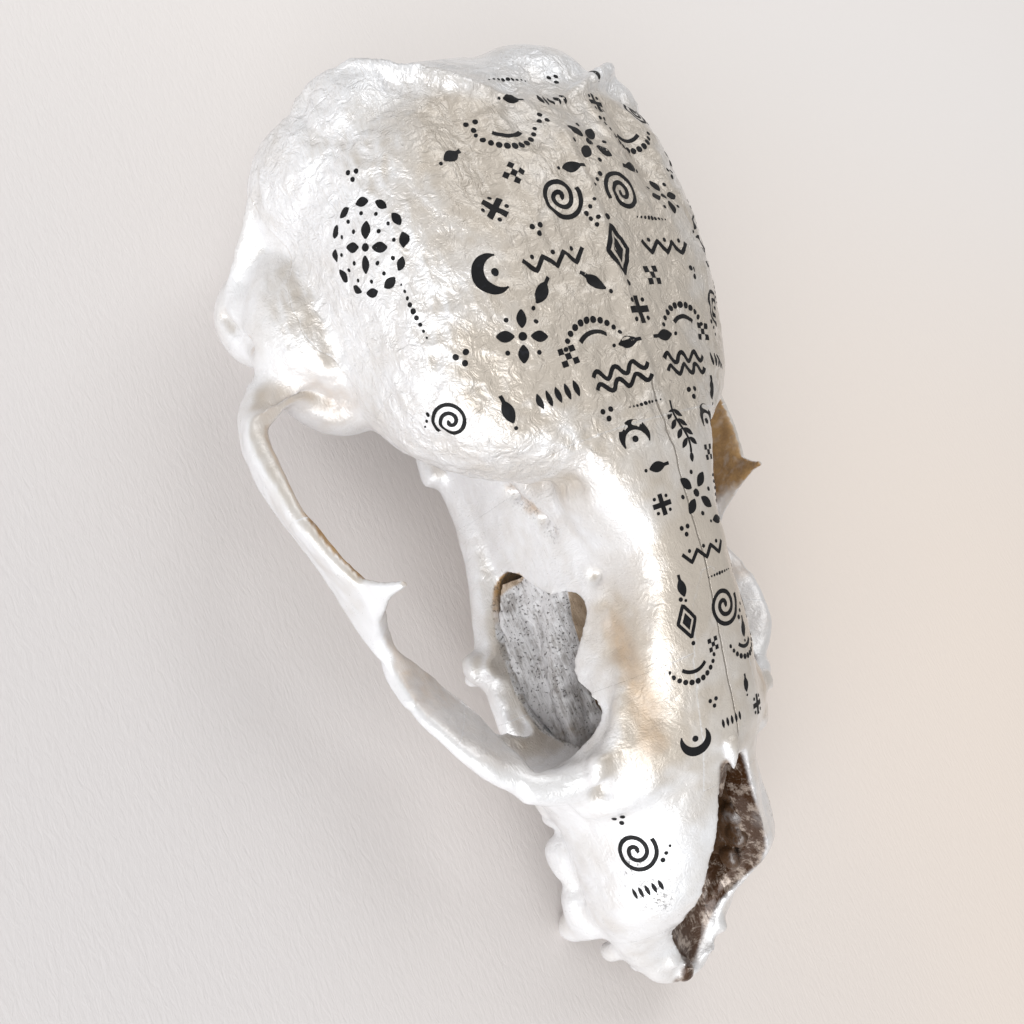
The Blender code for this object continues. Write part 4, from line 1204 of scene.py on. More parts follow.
def grown_skull(voxel, passes, lumps):
    """All forms joined, hollowed, turned into an even skin, relaxed and given their relief."""
    forms = [
        loft("braincase_form", BRAINCASE),
        loft("base_form", SKULL_BASE),
        loft("frontal_form", FRONTAL_BEAM),
        loft("orbit_wall_form", ORBIT_WALL),
        loft("palate_form", PALATE),
        loft("snout_form", SNOUT),
    ]
    forms += [mass("middle_mass", sizes, 1.0) for sizes in MIDDLE_MASSES]
    for side in (-1.0, 1.0):
        forms.append(plate("arch_form", ARCH, side, power=3.0))
        forms.append(crest("crest_form", side))
        forms.append(plate("horn_form", JUGAL_HORN, side, count=40))
        forms.append(plate("rim_form", RIM_SHEET, side, count=60))
        for table in (ORBIT_RIM, SPUR, PTERYGOID, HAMULUS):
            forms.append(rod("rod_form", table, side))
        forms += [mass("side_mass", sizes, side) for sizes in SIDE_MASSES]
        forms += [tooth("tooth_form", row, side) for row in TEETH]
    hollows = [loft("hollow", table) for table in (NASAL_PASSAGE, NASAL_TROUGH, NOSE_OPENING)]
    hollows += [mass("hole", sizes, 1.0) for sizes in (FORAMEN_MAGNUM, CHOANA)]
    for side in (-1.0, 1.0):
        hollows.append(outlined_hole("window", ORBIT_WINDOW, WINDOW_NEAR_X, WINDOW_FAR_X, side))
    bone = forms[0]
    combine(bone, forms[1:], "UNION")
    even_skin(bone, voxel * 1.5, passes)
    combine(bone, hollows, "DIFFERENCE")
    crisp = [plate("flake", NOSE_FLAKE, 1.0, 30), plate("spike", NASAL_SPIKE, 1.0, 30)]
    crisp.append(mass("knob", SNOUT_KNOB, 1.0))
    for side in (-1.0, 1.0):
        crisp.append(plate("arch_edge", ARCH[2:-3], side, power=4.0))
        crisp.append(plate("horn_edge", JUGAL_HORN, side, count=40))
    combine(bone, crisp, "UNION")
    even_skin(bone, voxel, 2)
    places = vertex_places(bone)
    normals = vertex_normals(bone)
    height = relief(skull_frame(places), normals, lumps)
    move_vertices(bone, places + normals * height[:, None] * MM)
    combine(bone, [block("floor_cut", *FLOOR_CUT)], "DIFFERENCE")
    return bone


def fit_to_box(item):
    """Stretch the skull by the hair that makes it fill the CAD box exactly."""
    places = vertex_places(item)
    low = places.min(axis=0)
    high = places.max(axis=0)
    cad_low = np.array(CAD_BOX[0])
    cad_high = np.array(CAD_BOX[1])
    move_vertices(item, cad_low + (places - low) * (cad_high - cad_low) / (high - low))


def skull_parts(looks):
    """Part the skull into the named bones, in the order in which they are cut out."""
    rest = grown_skull(looks.skin_step, looks.relax_steps, looks.lumps)
    fit_to_box(rest)
    material = painted_bone(looks)
    pieces = {}
    for bone in CUT_ORDER:
        piece = copy_of(rest, bone + "_skin")
        combine(piece, [place_of(bone, 0.0)], "INTERSECT")
        combine(rest, [place_of(bone, HAIR_GAP)], "DIFFERENCE")
        pieces[bone] = piece
    rest.name = "maxilla_skin"
    pieces["maxilla"] = rest
    for bone, piece in pieces.items():
        give_stains_and_shade(piece)
        dress(piece, material)
        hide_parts(bone)
    return pieces


# The folded nose bone


def folded_sheet(name, rows, side):
    """A thin sheet of bone: a superellipse carried along a wavy lower and a wavy upper edge."""
    return plate(name, rows, side, count=120, power=2.2, around=28)


NOSE_FLOOR = (
    (131.0, 8.0, 34.0, 44.0, 27.0, 2.4, 2.4),
    (145.0, 12.5, 31.0, 38.0, 25.5, 2.4, 2.6),
    (165.0, 16.0, 29.0, 33.0, 24.0, 2.6, 2.8),
    (190.0, 15.0, 27.0, 29.5, 22.5, 2.6, 2.8),
    (212.0, 12.5, 25.0, 27.0, 21.5, 2.6, 2.6),
    (222.0, 9.0, 23.5, 25.0, 21.0, 2.4, 2.4),
)
NOSE_WALL = (
    (0.0, 131.0, 32.0, 0.0, 131.0, 58.0, 1.6),
    (0.0, 150.0, 28.0, 0.0, 150.0, 62.0, 1.4),
    (0.0, 172.0, 27.0, 0.0, 172.0, 57.0, 1.3),
    (0.0, 188.0, 26.0, 0.0, 186.0, 50.0, 1.2),
    (0.0, 203.0, 25.0, 0.0, 199.0, 40.0, 1.1),
    (0.0, 214.0, 24.0, 0.0, 212.0, 30.0, 1.0),
)
NOSE_GUTTER_LOW = (
    (16.5, 130.0, 27.5, 11.5, 130.0, 30.0, 1.8),
    (19.0, 137.0, 24.5, 12.0, 137.0, 28.0, 1.8),
    (20.5, 146.0, 23.2, 12.0, 146.0, 27.0, 1.8),
    (21.0, 156.0, 22.4, 12.0, 156.0, 26.5, 1.8),
    (19.0, 166.0, 22.8, 12.0, 166.0, 26.0, 1.8),
    (15.5, 175.0, 25.5, 10.5, 175.0, 27.0, 1.8),
)
NOSE_GUTTER_HIGH = (
    (12.2, 130.0, 29.5, 9.5, 130.0, 35.0, 1.8),
    (12.8, 137.0, 27.5, 9.2, 137.0, 33.5, 1.8),
    (12.8, 146.0, 26.5, 8.8, 146.0, 31.0, 1.7),
    (12.8, 156.0, 26.0, 8.4, 156.0, 30.5, 1.7),
    (12.6, 166.0, 25.5, 7.8, 165.0, 34.0, 1.8),
    (11.5, 175.0, 26.5, 7.4, 173.0, 36.0, 1.8),
)
NOSE_SCROLLS = (
    (9.0, 176.0, 28.0, 8.0, 176.0, 42.0, 3.6),
    (10.0, 184.0, 28.0, 9.5, 183.0, 49.0, 4.2),
    (10.5, 196.0, 27.5, 10.0, 197.0, 48.5, 3.8),
    (10.5, 207.0, 26.5, 10.5, 209.0, 45.0, 3.6),
    (10.0, 214.0, 26.0, 10.0, 216.0, 38.0, 3.0),
)
NOSE_LUMPS = (
    # X, S, Z, radius across, along, up
    (9.5, 198.0, 48.0, 2.6, 4.0, 3.4),
    (9.8, 205.0, 45.5, 2.4, 3.6, 3.6),
    (10.0, 211.0, 43.0, 2.2, 3.4, 3.2),
    (9.0, 216.0, 38.0, 2.0, 3.2, 3.0),
    (4.5, 168.0, 31.0, 3.2, 5.0, 2.6),
)


def nose_parts(looks):
    """The floor, middle wall, scrolls and lumps of thin bone behind the windows and the nose opening."""
    bone = loft("nose_bones", NOSE_FLOOR)
    others = [folded_sheet("middle_wall", NOSE_WALL, 1.0)]
    for side in (-1.0, 1.0):
        for table in (NOSE_SCROLLS, NOSE_GUTTER_LOW, NOSE_GUTTER_HIGH):
            others.append(folded_sheet("scroll", table, side))
        others += [mass("lump", sizes, side, 18, 24) for sizes in NOSE_LUMPS]
    combine(bone, others, "UNION")
    even_skin(bone, looks.nose_step, 2)
    places = vertex_places(bone)
    points = skull_frame(places)
    rough = 0.5 * grain(points, 6.0, 41) + 0.3 * grain(points, 2.6, 42) + 0.2 * grain(points, 1.4, 43)
    move_vertices(bone, places + vertex_normals(bone) * rough[:, None] * MM)
    points = skull_frame(vertex_places(bone))
    out, s, z = np.abs(points[:, 0]), points[:, 1], points[:, 2]
    patches = 0.4 * grain(points, 7.0, 44)
    dust = eased(out + 1.5 * patches, 6.0, 7.4) * (1.0 - eased(s, 174.0, 184.0))
    dust *= eased(s + 0.5 * (z - 24.0) + 6.0 * patches, 132.0, 137.0)
    dust *= 1.0 - 0.45 * eased(s + 8.0 * patches, 156.0, 170.0)
    ahead = eased(s + 6.0 * patches, 196.0, 203.0) * eased(z + 6.0 * patches, 34.0, 42.0)
    dust = np.maximum(dust, 0.34 * ahead)
    # Painted shade: more towards the nose opening and near the passage floor
    shaded_depth = eased(s + 10.0 * patches, 168.0, 190.0) + 0.5 * eased(26.0 - z, 0.0, 6.0)
    store_share(bone, "dust", dust)
    store_share(bone, "shaded_depth", shaded_depth)
    dress(bone, inner_bone(looks))
    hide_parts("conchae")


# The drawn marks: each motif is a list of strokes, and a stroke is a path with a half width at each point


def stroke(path, widths, taper=False):
    """A path in two dimensions read at even steps of 0.4 mm, with its half widths."""
    path = np.array(path, dtype=float)
    steps = np.concatenate([[0.0], np.cumsum(np.linalg.norm(np.diff(path, axis=0), axis=1))])
    count = max(5, int(steps[-1] / 0.4) + 1)
    at = np.linspace(0.0, steps[-1], count)
    even = np.column_stack([np.interp(at, steps, path[:, axis]) for axis in (0, 1)])
    t = np.linspace(0.0, 1.0, count)
    if taper:
        widths = widths * np.sin(math.pi * np.clip(t, 0.02, 0.98)) ** 0.7
    return even, np.broadcast_to(np.asarray(widths, dtype=float), (count,))


def spot(x, y, radius):
    """A round dot: a short path whose half width is the circle's."""
    t = np.linspace(-0.97, 0.97, 11)
    return np.column_stack([np.full(11, x), y + t * radius]), radius * np.sqrt(1.0 - t * t)


def bow(radius, start, end, x=0.0, y=0.0):
    """Points on a circle from one angle to another, in degrees from straight ahead."""
    angle = np.radians(np.linspace(start, end, max(8, int(abs(end - start) / 8.0))))
    return np.column_stack([x + radius * np.sin(angle), y + radius * np.cos(angle)])


def flower(_pen):
    """Four filled petals round a dot, with four dots between them."""
    strokes = [spot(0.0, 0.0, 0.9)]
    for turn in range(4):
        a, b = bow(1.0, turn * 90.0, turn * 90.0 + 1.0)[0]
        strokes.append(stroke([(a * 1.7, b * 1.7), (a * 5.4, b * 5.4)], 1.15, taper=True))
        a, b = bow(1.0, turn * 90.0 + 45.0, turn * 90.0 + 46.0)[0]
        strokes.append(spot(a * 4.6, b * 4.6, 0.5))
    return strokes


def coil(pen):
    """A line that winds outwards by even steps, with three dots after its end."""
    angle = np.linspace(0.6, 4.6 * math.pi, 90)
    radius = 0.33 * angle
    strokes = [stroke(np.column_stack([radius * np.sin(angle), radius * np.cos(angle)]), pen)]
    for place in range(3):
        strokes.append(spot(1.4 * place + 4.6 , 4.0 - 1.2 * place, 0.55 - 0.1 * place))
    return strokes


def jagged(pen):
    """A line of even peaks with a dot under each."""
    peaks = [(-7.5 + 2.5 * step, 1.3 if step % 2 else -1.3) for step in range(7)]
    strokes = [stroke(peaks, pen)]
    return strokes + [spot(-5.0 + 5.0 * step, -1.6, 0.5) for step in range(3)]


def ripple(pen):
    """Two sine lines side by side."""
    x = np.linspace(-7.0, 7.0, 60)
    wave = 1.0 * np.sin(x * 1.35)
    return [stroke(np.column_stack([x, wave + 1.3]), pen), stroke(np.column_stack([x, wave - 1.3]), pen)]


def moon(_pen):
    """A crescent with a dot in its mouth."""
    return [stroke(bow(3.6, -110.0, 110.0), 1.25, taper=True), spot(0.0, 0.2, 0.8)]


def lozenge(pen):
    """An outlined diamond round a filled one, with a dot beyond each of two corners."""
    ring = [(0.0, 4.4), (2.7, 0.0), (0.0, -4.4), (-2.7, 0.0), (0.0, 4.4), (0.3, 3.9)]
    t = np.linspace(-1.0, 1.0, 13)
    filled = (np.column_stack([np.zeros(13), t * 2.3]), 1.35 * (1.02 - np.abs(t)))
    return [stroke(ring, pen), filled, spot(0.0, 6.0, 0.6), spot(0.0, -6.0, 0.6)]


def cross(pen):
    """A plus with a dot in each corner."""
    strokes = [stroke([(-3.0, 0.0), (3.0, 0.0)], pen * 1.5), stroke([(0.0, -3.0), (0.0, 3.0)], pen * 1.5)]
    return strokes + [spot(x, y, 0.5) for x in (-2.0, 2.0) for y in (-2.0, 2.0)]


def sprig(pen):
    """A bent stem with pairs of leaves."""
    v = np.linspace(-7.5, 7.5, 40)
    bend = 0.9 * np.sin(v * 0.35)
    strokes = [stroke(np.column_stack([bend, v]), pen * 0.8)]
    for place in (-5.0, -2.2, 0.6, 3.4):
        x = 0.9 * math.sin(place * 0.35)
        for side in (-1.0, 1.0):
            strokes.append(stroke([(x + side * 0.5, place), (x + side * 3.0, place + 2.3)], 0.75, taper=True))
    strokes.append(stroke([(bend[-1], 7.5), (bend[-1] * 1.3, 10.2)], 0.8, taper=True))
    return strokes


def bead_arc(pen):
    """Dots along an arc, larger towards the middle, over a short line."""
    angles = np.linspace(-62.0, 62.0, 11)
    sizes = 0.4 + 0.35 * np.cos(np.radians(angles * 1.2))
    centres = 8.0 * np.column_stack([np.sin(np.radians(angles)), np.cos(np.radians(angles)) - 1.0])
    strokes = [spot(x, y, size) for (x, y), size in zip(centres, sizes)]
    return strokes + [stroke(bow(5.4, -40.0, 40.0, y=-8.0), pen)]


def drops(_pen):
    """Five short leaves side by side, like seeds."""
    strokes = []
    for place in range(5):
        x = 1.9 * (place - 2)
        strokes.append(stroke([(x, -1.5), (x, 1.5)], 0.55, taper=True))
    return strokes


def leaf(pen):
    """One bold leaf with a short stem and a dot at its tip."""
    strokes = [stroke([(0.0, -3.2), (0.0, 2.6)], 1.5, taper=True), stroke([(0.0, -4.6), (0.0, -2.6)], pen)]
    return strokes + [spot(0.0, 3.9, 0.5)]


def checker(_pen):
    """Five bold squares set corner to corner."""
    strokes = []
    for x, y in ((0.0, 0.0), (1.7, 1.7), (-1.7, 1.7), (1.7, -1.7), (-1.7, -1.7)):
        strokes.append(stroke([(x - 0.85, y), (x + 0.85, y)], 0.85))
    return strokes


def beads(_pen):
    """A straight row of dots, larger in the middle."""
    return [spot(1.7 * place, 0.0, 0.72 - 0.11 * abs(place)) for place in range(-4, 5)]


def trio(_pen):
    """Three dots in a triangle."""
    return [spot(0.0, 1.1, 0.7), spot(-1.2, -0.9, 0.7), spot(1.2, -0.9, 0.7)]


def wreath(pen):
    """Leaves that follow each other round a circle, with a petal cross inside."""
    strokes = []
    for place in range(12):
        strokes.append(stroke(bow(9.5, place * 30.0, place * 30.0 + 19.0), 1.0, taper=True))
        x, y = bow(7.2, place * 30.0 + 12.0, place * 30.0 + 13.0)[0]
        strokes.append(spot(x, y, 0.45))
    return strokes + flower(pen)


MOTIFS = {
    "flower": flower,
    "coil": coil,
    "jagged": jagged,
    "ripple": ripple,
    "moon": moon,
    "lozenge": lozenge,
    "cross": cross,
    "sprig": sprig,
    "bead_arc": bead_arc,
    "drops": drops,
    "leaf": leaf,
    "checker": checker,
    "beads": beads,
    "trio": trio,
    "wreath": wreath,
}
# Bands across the skull: S, height of the turning axis, then the motifs as angle, motif, turn and size
BANDS = (
    (26.0, 50.0, (
        (-4.0, "beads", 0.0, 0.8), (16.0, "trio", 0.0, 0.9), (30.0, "leaf", 0.0, 0.8),
    )),
    (34.0, 50.0, (
        (6.0, "drops", 0.0, 1.0), (-11.0, "leaf", 90.0, 0.8), (25.0, "cross", 0.0, 0.9),
        (43.0, "coil", 0.0, 0.9),
    )),
    (40.0, 50.0, (
        (-27.0, "trio", 0.0, 0.9), (-4.0, "trio", 180.0, 0.9), (22.0, "trio", 0.0, 0.8),
    )),
    (47.0, 50.0, (
        (-18.0, "bead_arc", 0.0, 1.1), (9.0, "flower", 45.0, 1.15), (32.0, "bead_arc", 0.0, 1.1),
        (50.0, "checker", 0.0, 0.8), (-36.0, "leaf", 60.0, 0.9),
    )),
    (53.5, 50.0, (
        (-3.0, "leaf", 90.0, 0.9), (-22.0, "checker", 45.0, 0.8), (23.0, "leaf", -90.0, 0.9),
        (41.0, "trio", 0.0, 0.9),
    )),
    (60.5, 50.0, (
        (-31.0, "cross", 45.0, 1.0), (-11.0, "coil", 0.0, 1.15), (13.0, "coil", 180.0, 1.15),
        (33.0, "flower", 0.0, 1.0), (51.0, "drops", 90.0, 1.0),
    )),
    (67.0, 50.0, (
        (-22.0, "trio", 0.0, 0.9), (-2.0, "trio", 0.0, 0.8), (22.0, "beads", 0.0, 0.8),
        (44.0, "leaf", 40.0, 0.8),
    )),
    (74.0, 50.0, (
        (-37.0, "moon", 90.0, 1.1), (-20.0, "jagged", 0.0, 1.1), (3.0, "lozenge", 0.0, 1.3),
        (25.0, "jagged", 0.0, 1.1), (44.0, "moon", -90.0, 1.0),
    )),
    (80.5, 50.0, (
        (-28.0, "leaf", 50.0, 1.0), (-9.0, "leaf", -50.0, 1.0), (15.0, "checker", 0.0, 0.9),
        (34.0, "trio", 0.0, 1.0), (52.0, "beads", 90.0, 0.8),
    )),
    (88.0, 50.0, (
        (-37.0, "flower", 20.0, 1.05), (-17.0, "bead_arc", 180.0, 1.1), (4.0, "cross", 0.0, 1.1),
        (24.0, "bead_arc", 180.0, 1.1), (45.0, "coil", 90.0, 1.0), (-52.0, "trio", 0.0, 1.0),
    )),
    (94.5, 50.0, (
        (-27.0, "checker", 0.0, 0.8), (-5.0, "leaf", 90.0, 0.9), (13.0, "leaf", -90.0, 0.9),
        (34.0, "checker", 0.0, 0.8),
    )),
    (101.5, 50.0, (
        (-34.0, "drops", 0.0, 1.2), (-11.0, "ripple", 0.0, 1.1), (20.0, "ripple", 0.0, 1.1),
        (41.0, "drops", 0.0, 1.1), (-48.0, "leaf", 0.0, 0.9),
    )),
    (108.5, 45.0, (
        (-19.0, "trio", 0.0, 0.9), (-5.0, "beads", 0.0, 0.7), (17.0, "trio", 0.0, 0.9),
        (30.0, "leaf", 0.0, 0.8),
    )),
    (115.5, 45.0, (
        (-13.0, "moon", 180.0, 0.95), (6.0, "sprig", 0.0, 0.85), (22.0, "moon", 180.0, 0.9),
    )),
    (122.5, 45.0, (
        (-9.0, "leaf", 90.0, 0.8), (17.0, "checker", 0.0, 0.7),
    )),
    (130.5, 45.0, (
        (-11.0, "cross", 0.0, 0.8), (5.0, "flower", 45.0, 1.05), (19.0, "drops", 90.0, 0.8),
    )),
    (137.5, 45.0, (
        (-5.0, "trio", 0.0, 0.8), (12.0, "leaf", 90.0, 0.7),
    )),
    (143.5, 45.0, (
        (1.0, "jagged", 0.0, 0.9),
    )),
    (149.0, 42.0, (
        (-12.0, "leaf", 0.0, 0.7), (6.0, "beads", 0.0, 0.6), (20.0, "trio", 0.0, 0.7),
    )),
    (156.0, 40.0, (
        (-13.0, "lozenge", 0.0, 0.85), (5.0, "coil", 0.0, 1.05), (24.0, "lozenge", 0.0, 0.8),
    )),
    (163.0, 37.0, (
        (-4.0, "checker", 0.0, 0.6), (14.0, "leaf", 0.0, 0.7),
    )),
    (169.0, 35.0, (
        (-13.0, "bead_arc", 0.0, 0.9), (13.0, "bead_arc", 0.0, 0.9),
    )),
    (175.0, 32.0, (
        (-8.0, "trio", 0.0, 0.7), (8.0, "leaf", 0.0, 0.6),
    )),
    (180.5, 30.0, (
        (-17.0, "moon", 0.0, 0.9), (-2.0, "drops", 0.0, 0.7), (14.0, "cross", 0.0, 0.8),
    )),
    (58.0, 55.0, (
        (-66.0, "wreath", 30.0, 1.0),
    )),
    (43.0, 55.0, (
        (-62.0, "trio", 20.0, 0.8),
    )),
    (75.0, 55.0, (
        (-62.0, "beads", 90.0, 0.9),
    )),
    (98.0, 50.0, (
        (-62.0, "coil", 180.0, 0.9),
    )),
    (200.0, 32.0, (
        (-58.0, "coil", 0.0, 1.1),
    )),
    (209.5, 30.0, (
        (-58.0, "drops", 0.0, 0.9),
    )),
    (192.0, 32.0, (
        (-58.0, "trio", 0.0, 0.9),
    )),
)


RAY_START = 0.2
PROBE_STEP = 2.5
PROBE_TURN = 0.06


def surface_frame(tree, s, axis_z, angle):
    """A point on the skin and two directions along it, from rays that aim at an axis along the skull."""

    def hit(step_s, step_angle):
        turned = math.radians(angle) + step_angle
        centre = Vector(row_frame(np.array([0.0, s + step_s, axis_z])))
        out = Vector((math.sin(turned), 0.0, math.cos(turned)))
        found = tree.ray_cast(centre + out * RAY_START, -out)[0]
        if found is None:
            raise RuntimeError(f"no skin under the mark at {s}, {angle}")
        return np.array(found)

    along = hit(PROBE_STEP, 0.0) - hit(-PROBE_STEP, 0.0)
    across = hit(0.0, PROBE_TURN) - hit(0.0, -PROBE_TURN)
    along /= np.linalg.norm(along)
    across -= along * (across @ along)
    across /= np.linalg.norm(across)
    return hit(0.0, 0.0), across, along


def drawn_marks(looks, tree):
    """All strokes as flat strips of four columns: each path moved sideways by shares of its half width."""
    columns = np.array([-1.0, -0.34, 0.34, 1.0])
    points = []
    faces = []
    total = 0
    for s, axis_z, marks in BANDS:
        for angle, motif, turn, size in marks:
            middle, across, along = surface_frame(tree, s, axis_z, angle)
            spin = math.radians(turn)
            u = across * math.cos(spin) + along * math.sin(spin)
            v = along * math.cos(spin) - across * math.sin(spin)
            for path, widths in MOTIFS[motif](looks.pen_width / MM / 2.0):
                travel = np.gradient(path, axis=0)
                travel /= np.maximum(np.linalg.norm(travel, axis=1, keepdims=True), 1e-6)
                sideways = np.column_stack([-travel[:, 1], travel[:, 0]])
                flat = path[:, None] + sideways[:, None] * (widths[:, None] * columns)[:, :, None]
                flat = flat.reshape(-1, 2) * size * MM
                points.append(middle + flat[:, :1] * u + flat[:, 1:] * v)
                row = (np.arange(len(path) - 1) * 4)[:, None] + np.arange(3)
                quads = np.stack([row, row + 1, row + 5, row + 4], axis=-1).reshape(-1, 4)
                facing = np.cross(u, v) @ np.cross(across, along)
                faces.append(total + (quads if facing > 0.0 else quads[:, ::-1]))
                total += len(flat)
    return np.concatenate(points), np.concatenate(faces)


def skin_target(pieces):
    """The bones that carry marks as one temporary mesh."""
    points = []
    faces = []
    total = 0
    for piece in pieces:
        places = vertex_places(piece)
        piece.data.calc_loop_triangles()
        corners = np.empty(len(piece.data.loop_triangles) * 3, np.int32)
        piece.data.loop_triangles.foreach_get("vertices", corners)
        points.append(places)
        faces.append(corners.reshape(-1, 3) + total)
        total += len(places)
    return new_mesh("marked_skin", np.concatenate(points), [np.concatenate(faces)])


def ink_parts(looks):
    """Lay the marks on the skin and give them the thickness of dried ink."""
    bones = ("braincase", "temporal_right", "frontal", "nasals", "maxilla", "occiput")
    target = skin_target([bpy.data.objects[bone + "_skin"] for bone in bones])
    tree = BVHTree.FromObject(target, bpy.context.evaluated_depsgraph_get())
    points, faces = drawn_marks(looks, tree)
    marks = new_mesh("ink_marks", points, [faces])
    wrap = marks.modifiers.new("lie_on_skin", "SHRINKWRAP")
    wrap.target = target
    wrap.wrap_method = "TARGET_PROJECT"
    wrap.wrap_mode = "ABOVE_SURFACE"
    wrap.offset = looks.ink_thickness
    applied(marks)
    wall = marks.modifiers.new("thickness", "SOLIDIFY")
    wall.thickness = looks.ink_thickness * 2.0
    wall.offset = -1.0
    applied(marks)
    bpy.data.objects.remove(target)
    dress(marks, ink(looks))


# The studio


FLOOR_STEPS = 32
# Name, place, point that it faces, width, share of the window's power
LAMPS = (
    ("window", (-1.0, -0.55, 0.46), (0.0, 0.0, 0.03), 1.0, 1.0),
    ("upper", (0.55, 0.75, 1.2), (0.1, 0.1, 0.0), 0.9, 0.4),
)


def sheet_floor(size):
    """A wide flat sheet: a grid of two parameters across and along, all at height zero."""
    across = FLOOR_STEPS + 1
    side = np.linspace(-size / 2.0, size / 2.0, across)
    x, y = np.meshgrid(side, side)
    points = np.column_stack([x.ravel(), y.ravel(), np.zeros(x.size)])
    row = (np.arange(FLOOR_STEPS) * across)[:, None] + np.arange(FLOOR_STEPS)
    quads = np.stack([row, row + 1, row + across + 1, row + across], axis=-1).reshape(-1, 4)
    return new_mesh("pale_floor", points, [quads])


def area_light(name, place, aim, width, power, colour):
    """A soft square lamp that points at aim."""
    lamp = bpy.data.lights.new(name, "AREA")
    lamp.size = width
    lamp.energy = power
    lamp.color = colour
    item = bpy.data.objects.new(name, lamp)
    item.location = place
    item.rotation_euler = (Vector(aim) - Vector(place)).to_track_quat("-Z", "Y").to_euler()
    bpy.context.scene.collection.objects.link(item)


def studio(looks):
    """The sheet, the lamps, the light from all round and the camera."""
    floor = sheet_floor(looks.sheet_size)
    floor.data.materials.append(pale_sheet(looks))
    for name, place, aim, width, share in LAMPS:
        area_light(name, place, aim, width, looks.window_power * share, looks.window_colour)
    world = bpy.data.worlds.new("room")
    world.use_nodes = True
    background = world.node_tree.nodes["Background"]
    background.inputs["Color"].default_value = colour4(looks.room_colour)
    background.inputs["Strength"].default_value = looks.room_strength
    bpy.context.scene.world = world
    bpy.context.scene.view_settings.view_transform = "Standard"
    camera = bpy.data.objects.new("camera", bpy.data.cameras.new("camera"))
    camera.data.sensor_width = FILM_WIDTH
    camera.data.lens = FILM_WIDTH * FOCAL_PIXELS / FRAME_PIXELS
    camera.data.clip_start = 0.01
    turn = Matrix.Identity(4)
    for axis, direction in enumerate((CAMERA_RIGHT, CAMERA_DOWN, CAMERA_FORWARD)):
        sign = 1.0 if axis == 0 else -1.0
        for row in range(3):
            turn[row][axis] = sign * direction[row]
    camera.matrix_world = Matrix.Translation(CAMERA_PLACE) @ turn
    bpy.context.scene.collection.objects.link(camera)
    bpy.context.scene.camera = camera


# The add-on's settings, operators and panel


def colour_setting(name, text, default):
    """A colour that a user can change."""
    shown = {"name": name, "description": text, "subtype": "COLOR"}
    return FloatVectorProperty(size=3, min=0.0, max=1.0, default=default, **shown)


def length_setting(name, text, default, low, high):
    """A length in metres that a user can change."""
    shown = {"name": name, "description": text, "unit": "LENGTH", "precision": 5}
    return FloatProperty(default=default, min=low, max=high, **shown)


def number_setting(name, text, default, high):
    """A number from 0 upwards that a user can change."""
    return FloatProperty(name=name, description=text, default=default, min=0.0, max=high)


class SkullBoneSettings(PropertyGroup):
    """Sizes and colours of the painted bones."""

    skin_step: length_setting("Skin step", "Edge length of the skin's small faces", 0.0007, 0.0004, 0.002)
    relax_steps: IntProperty(name="Relax steps", description="Rounds of smoothing", default=14, min=0, max=60)
    lumps: number_setting("Lumps", "Strength of the skin's uneven lumps", 1.0, 3.0)
    pearl: number_setting("Pearl", "Metallic share of the pearly paint", 0.28, 1.0)
    paint_colour: colour_setting("Paint", "Pearly white paint", (0.83, 0.83, 0.845))
    # Also the colour of the painted shade on the upper faces and in the hollows
    warm_and_shade_colour: colour_setting("Warm paint", "Thin paint with the bone's warmth", (0.56, 0.50, 0.43))
    dust_colour: colour_setting("Dust", "Grey dusty paint inside the nose", (0.46, 0.43, 0.40))
    # Dark brown bone, darkened as painted shade inside the nose
    nose_brown_and_shade_colour: colour_setting("Nose wall", "Deep brown glossy bone in the nose", (0.060, 0.023, 0.006))
    # Silvery paint that also stands as painted sheen in the nose
    silver_and_sheen_colour: colour_setting("Nose shine", "Thin silvery paint in the nose", (0.44, 0.36, 0.30))
    bone_colour: colour_setting("Bone", "Bare brown bone", (0.48, 0.29, 0.12))
    deep_colour: colour_setting("Deep bone", "Darker bare bone", (0.30, 0.175, 0.075))


class SkullNoseSettings(PropertyGroup):
    """Sizes and colours of the thin bones in the nose."""

    nose_step: length_setting("Skin step", "Edge length of the small faces", 0.0006, 0.0004, 0.002)
    bone_colour: colour_setting("Bone", "Thin tan bone", (0.42, 0.32, 0.23))
    # Painted shade: the dark brown deep in the nose
    deep_colour: colour_setting("Deep bone", "Brown bone in the hollows", (0.08, 0.04, 0.018))
    dust_colour: colour_setting("Dust", "Grey dust", (0.31, 0.29, 0.28))
    pale_colour: colour_setting("Pale bone", "Pale paint", (0.66, 0.65, 0.66))


class SkullInkSettings(PropertyGroup):
    """Sizes and colour of the drawn marks."""

    pen_width: length_setting("Pen width", "Width of a drawn line", 0.00095, 0.0003, 0.003)
    ink_thickness: length_setting("Ink thickness", "Height of the dried ink", 0.00006, 0.00002, 0.0005)
    ink_colour: colour_setting("Ink", "Black drawing ink", (0.004, 0.004, 0.005))


